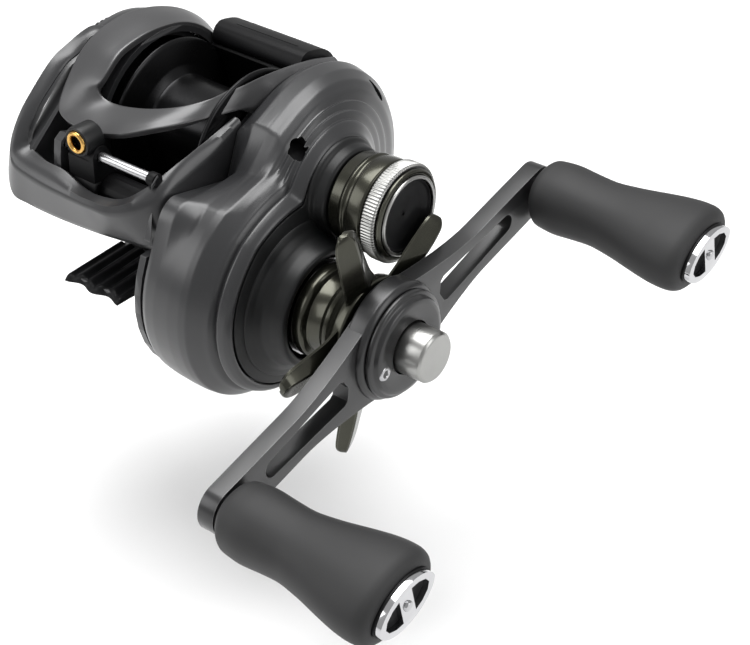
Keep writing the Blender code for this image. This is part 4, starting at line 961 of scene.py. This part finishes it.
def knob_ring(x0, x1, share, centre):
    """Slightly squared oval section of the grip at a share of its length."""
    along = float(np.interp(share, KNOB_SHARES, KNOB_ALONG))
    across = float(np.interp(share, KNOB_SHARES, KNOB_ACROSS))
    a = np.linspace(0, TAU, KNOB_STEPS, endpoint=False)
    u = along * np.sign(np.cos(a)) * np.abs(np.cos(a)) ** KNOB_SQUARENESS
    v = across * np.sign(np.sin(a)) * np.abs(np.sin(a)) ** KNOB_SQUARENESS
    c, s = math.cos(CRANK_ANGLE), math.sin(CRANK_ANGLE)
    x = np.full(len(a), x0 + (x1 - x0) * share)
    return np.stack([x, centre[0] + u * c - v * s, centre[1] + u * s + v * c], axis=1)


def make_knob(label):
    centre, node = KNOBS[label], "knob_" + label
    x0, x1 = span(node, 0)
    shares = np.concatenate([np.linspace(0, 0.06, 7)[:-1], np.linspace(0.06, 0.9, 36)[:-1],
                             np.linspace(0.9, 1, 14)])
    rings = [knob_ring(x0, x1, s, centre) for s in shares]
    kernel = np.array([1, 2, 3, 2, 1]) / 9
    padded = np.concatenate([rings[:1] * 2, rings, rings[-1:] * 2])
    smooth = [sum(w * padded[i + k] for k, w in enumerate(kernel)) for i in range(len(rings))]
    smooth[0], smooth[-1] = rings[0], rings[-1]
    piece("knob_%s_grip" % label, skin(smooth), node, sharp=50)
    cap_face = span(node + "_cap", 0)[1]
    seat = plate([almond(centre, 0.97)], x1 - 0.5, x1 + 0.5, 0.15)
    extra("knob_%s_seat" % label, seat, node + "_cap", finish="black_coat")
    loops = [almond(centre, 0.93)] + [[knob_point(centre, turn * u, turn * v) for u, v in CAP_OPENING]
                                      for turn in (1, -1)]
    piece("knob_%s_badge" % label, plate(loops, x1 - 0.3, cap_face + 0.3, 0.3),
          node + "_cap")
    rivet = turned(centre,
                        [(x1, 0.0), (x1, 1.0), (cap_face + 0.3, 1.0), (cap_face + 0.75, 0.8),
                         (cap_face + 0.8, 0.0)],
                        48, 0.15)
    extra("knob_%s_rivet" % label, rivet, node + "_cap", finish="steel")


def knob_point(centre, u, v):
    c, s = math.cos(CRANK_ANGLE), math.sin(CRANK_ANGLE)
    return (centre[0] + u * c - v * s, centre[1] + u * s + v * c)


def almond(centre, scale):
    """Pointed oval of the knob's end cap."""
    points = []
    for i in range(KNOB_STEPS):
        a = TAU * i / KNOB_STEPS
        u = CAP_HALF_LENGTH * scale * math.cos(a)
        v = CAP_HALF_WIDTH * scale * math.copysign(abs(math.sin(a)) ** 1.15, math.sin(a))
        points.append(knob_point(centre, u, v))
    return points


# ---- frame, thumb bar, foot

# Y and Z of the region over the cover's edge that is cut off the gear-side cheek
ABOVE_LIP = ((-32.0, 11.6), (-26.9, 11.6), (-26.6, 19.4), (-23.7, 21.4), (-19.7, 23.6), (-14.5, 25.6),
             (-10.0, 26.8), (-7.0, 28.4), (0.0, 29.2), (12.0, 29.8), (22.0, 28.2), (24.0, 36.0),
             (-32.0, 36.0))


def make_frame_shell():
    """A copy of the CAD frame, its front cheek lowered under the cover's edge and its edges eased."""
    shell = piece("frame_shell", frame["nodes"]["frame"].data.copy(), "frame")
    cut(shell, helper(plate([ABOVE_LIP], 10.2, 14.0, 0), "body_paint"))
    ease(shell, 0.3)
    # Black plate behind the spool, radius 16.6 to 17.3 mm: partly the frame's rear wall, partly painted
    # shade, a dark sheet that makes the gap behind the spool read as shadow
    arc = [math.radians(a) for a in range(-30, 39, 4)]
    wall = [(SPOOL[0] + 17.3 * math.cos(a), SPOOL[1] + 17.3 * math.sin(a)) for a in arc]
    wall += [(SPOOL[0] + 16.6 * math.cos(a), SPOOL[1] + 16.6 * math.sin(a)) for a in reversed(arc)]
    extra("frame_rear_wall_painted_shade", plate([wall], -11.8, 11.1, 0.15), "frame",
          finish="black_coat", sharp=50)


def ease(target, width):
    """Rounded edges on a piece taken over from the CAD."""
    step = target.modifiers.new("ease", "BEVEL")
    step.width = width * MM
    step.segments = 2
    step.limit_method = "ANGLE"
    step.angle_limit = math.radians(40)
    step.use_clamp_overlap = True
    step.harden_normals = False


THUMB_RIBS = 5


def make_thumb_bar():
    """Thumb rest with a rolled top, a rear fall and a deep front wall."""
    x0, x1 = span("thumb_bar", 0)
    section = [(13.2, 30.2), (13.6, 31.8), (14.6, 32.9), (16.4, 33.2), (20.6, 32.0), (23.2, 29.6),
               (23.4, 27.0),
               (21.6, 23.4), (18.6, 21.6), (17.4, 22.6), (16.4, 26.4), (14.4, 28.6)]
    bar = plate([softened(through(section, 60, closed=True), 0.1)], x0, 10.6, 0.7, 4)
    piece("thumb_bar_rest", bar, "thumb_bar", sharp=50)
    for k in range(THUMB_RIBS):
        y = 16.6 + 1.05 * k
        top = 33.35 - 0.33 * (y - 16.4)
        rib = [(y - 0.22, top - 0.5), (y - 0.16, top), (y + 0.16, top - 0.06), (y + 0.22, top - 0.6)]
        extra("thumb_rib_%d" % k, plate([rib], x0 + 3.5, 7.5, 0.06, 2), "thumb_bar")


FOOT_GRIP_ROWS = 40
FOOT_RIBS = 5


def make_foot_grip():
    """Ribbed black skin on the foot's front end, with a scalloped front edge."""
    half, back = 6.7, -19.0
    across = np.linspace(-half, half, 91)
    ripple = wave(TAU * FOOT_RIBS * across / (2 * half))
    front = span("frame", 1)[0] + 0.35 - 0.5 * np.cos(2 * TAU * across / (2 * half))
    rings = []
    for row in range(FOOT_GRIP_ROWS + 1):
        share = row / FOOT_GRIP_ROWS
        y = front + (back - front) * share
        fall = 0.9 * max(0.0, 1 - share / 0.08) ** 2
        top = 1.75 + 0.5 * share - fall - 0.45 * ripple * (1 - 0.3 * fall)
        top = top - 0.5 * (np.abs(across) / half) ** 8
        rings.append(np.concatenate([np.stack([across, y, top], axis=1),
                                     np.stack([across[::-1], y[::-1], np.full(len(across), 0.25)], axis=1)]))
    extra("foot_grip", skin(rings), "frame", finish="black_coat", sharp=50)


# ---- carried-over CAD

def dress_cad_nodes():
    """Gives every CAD node that is still shown its procedural finish."""
    for name, node in frame["nodes"].items():
        for slot in node.material_slots:
            slot.link = "OBJECT"
            slot.material = FINISH[SLOT_OF[name]]


# ---- camera and stage

FLOOR_HALF, FLOOR_Z = 3.0, -0.056   # metres; low enough for the handle to turn


def make_stage():
    mesh = bpy.data.meshes.new("floor")
    corners = [(FLOOR_HALF * x, FLOOR_HALF * y, FLOOR_Z) for x, y in ((-1, -1), (1, -1), (1, 1), (-1, 1))]
    mesh.from_pydata(corners, [], [(0, 1, 2, 3)])
    floor = bpy.data.objects.new("floor", mesh)
    finish = Surface("pale_floor", (0.86, 0.86, 0.86), 0.9).mottle(80, (0.88, 0.88, 0.88), 0.5)
    mesh.materials.append(finish.done())
    bpy.context.scene.collection.objects.link(floor)


def area_light(name, where, target, size, power):
    data = bpy.data.lights.new(name, "AREA")
    data.shape = "RECTANGLE"
    data.size, data.size_y = size
    data.energy = power
    lamp = bpy.data.objects.new(name, data)
    bpy.context.scene.collection.objects.link(lamp)
    lamp.location = where
    lamp.rotation_euler = (Vector(target) - Vector(where)).to_track_quat("-Z", "Y").to_euler()


REEL_MIDDLE = (0.02, -0.005, 0.01)
WORLD_STRENGTH = 0.58


def make_light():
    """Even white surroundings with three soft lamps; the tones are shown without a film curve."""
    world = bpy.data.worlds.new("studio")
    bpy.context.scene.world = world
    world.use_nodes = True
    background = world.node_tree.nodes["Background"]
    background.inputs["Color"].default_value = (1.0, 1.0, 1.0, 1.0)
    background.inputs["Strength"].default_value = WORLD_STRENGTH
    area_light("key", (-0.10, 0.05, 0.55), REEL_MIDDLE, (0.45, 0.35), 4.2)
    area_light("front_left", (-0.35, -0.45, 0.30), REEL_MIDDLE, (0.35, 0.35), 1.3)
    area_light("handle_side", (0.55, 0.10, 0.30), REEL_MIDDLE, (0.30, 0.45), 1.3)
    bpy.context.scene.view_settings.view_transform = "Standard"


CAMERA_PLACE = (228.3, -242.6, 200.2)
CAMERA_AZIMUTH, CAMERA_ELEVATION, CAMERA_ROLL = 37.9, 34.0, 0.6
CAMERA_LENS, CAMERA_SENSOR = 96.0, 36.0


def make_camera():
    """Camera from its place in millimetres, azimuth, elevation and roll in degrees, and lens."""
    a, e, r = (math.radians(v) for v in (CAMERA_AZIMUTH, CAMERA_ELEVATION, CAMERA_ROLL))
    right = Vector((math.cos(a), math.sin(a), 0.0))
    back = Vector((math.sin(a) * math.cos(e), -math.cos(a) * math.cos(e), math.sin(e)))
    up = back.cross(right)
    rolled_right = math.cos(r) * right + math.sin(r) * up
    rolled_up = -math.sin(r) * right + math.cos(r) * up
    turn = Matrix((rolled_right, rolled_up, back)).transposed().to_4x4()
    data = bpy.data.cameras.new("camera")
    data.lens, data.sensor_width, data.sensor_fit = CAMERA_LENS, CAMERA_SENSOR, "HORIZONTAL"
    data.clip_start = 0.01
    camera = bpy.data.objects.new("camera", data)
    bpy.context.scene.collection.objects.link(camera)
    camera.matrix_world = Matrix.Translation(Vector(CAMERA_PLACE) * MM) @ turn
    bpy.context.scene.camera = camera


make_gear_side_case()
make_gear_cover()
make_nose_cover()
make_line_guide()
make_guide_rod()
make_hood()
make_frame_shell()
make_thumb_bar()
make_foot_grip()
make_palm_side()
make_spool()
make_tension_knob()
make_star()
make_handle()
for label in KNOBS:
    make_knob(label)
dress_cad_nodes()
make_stage()
make_light()
make_camera()
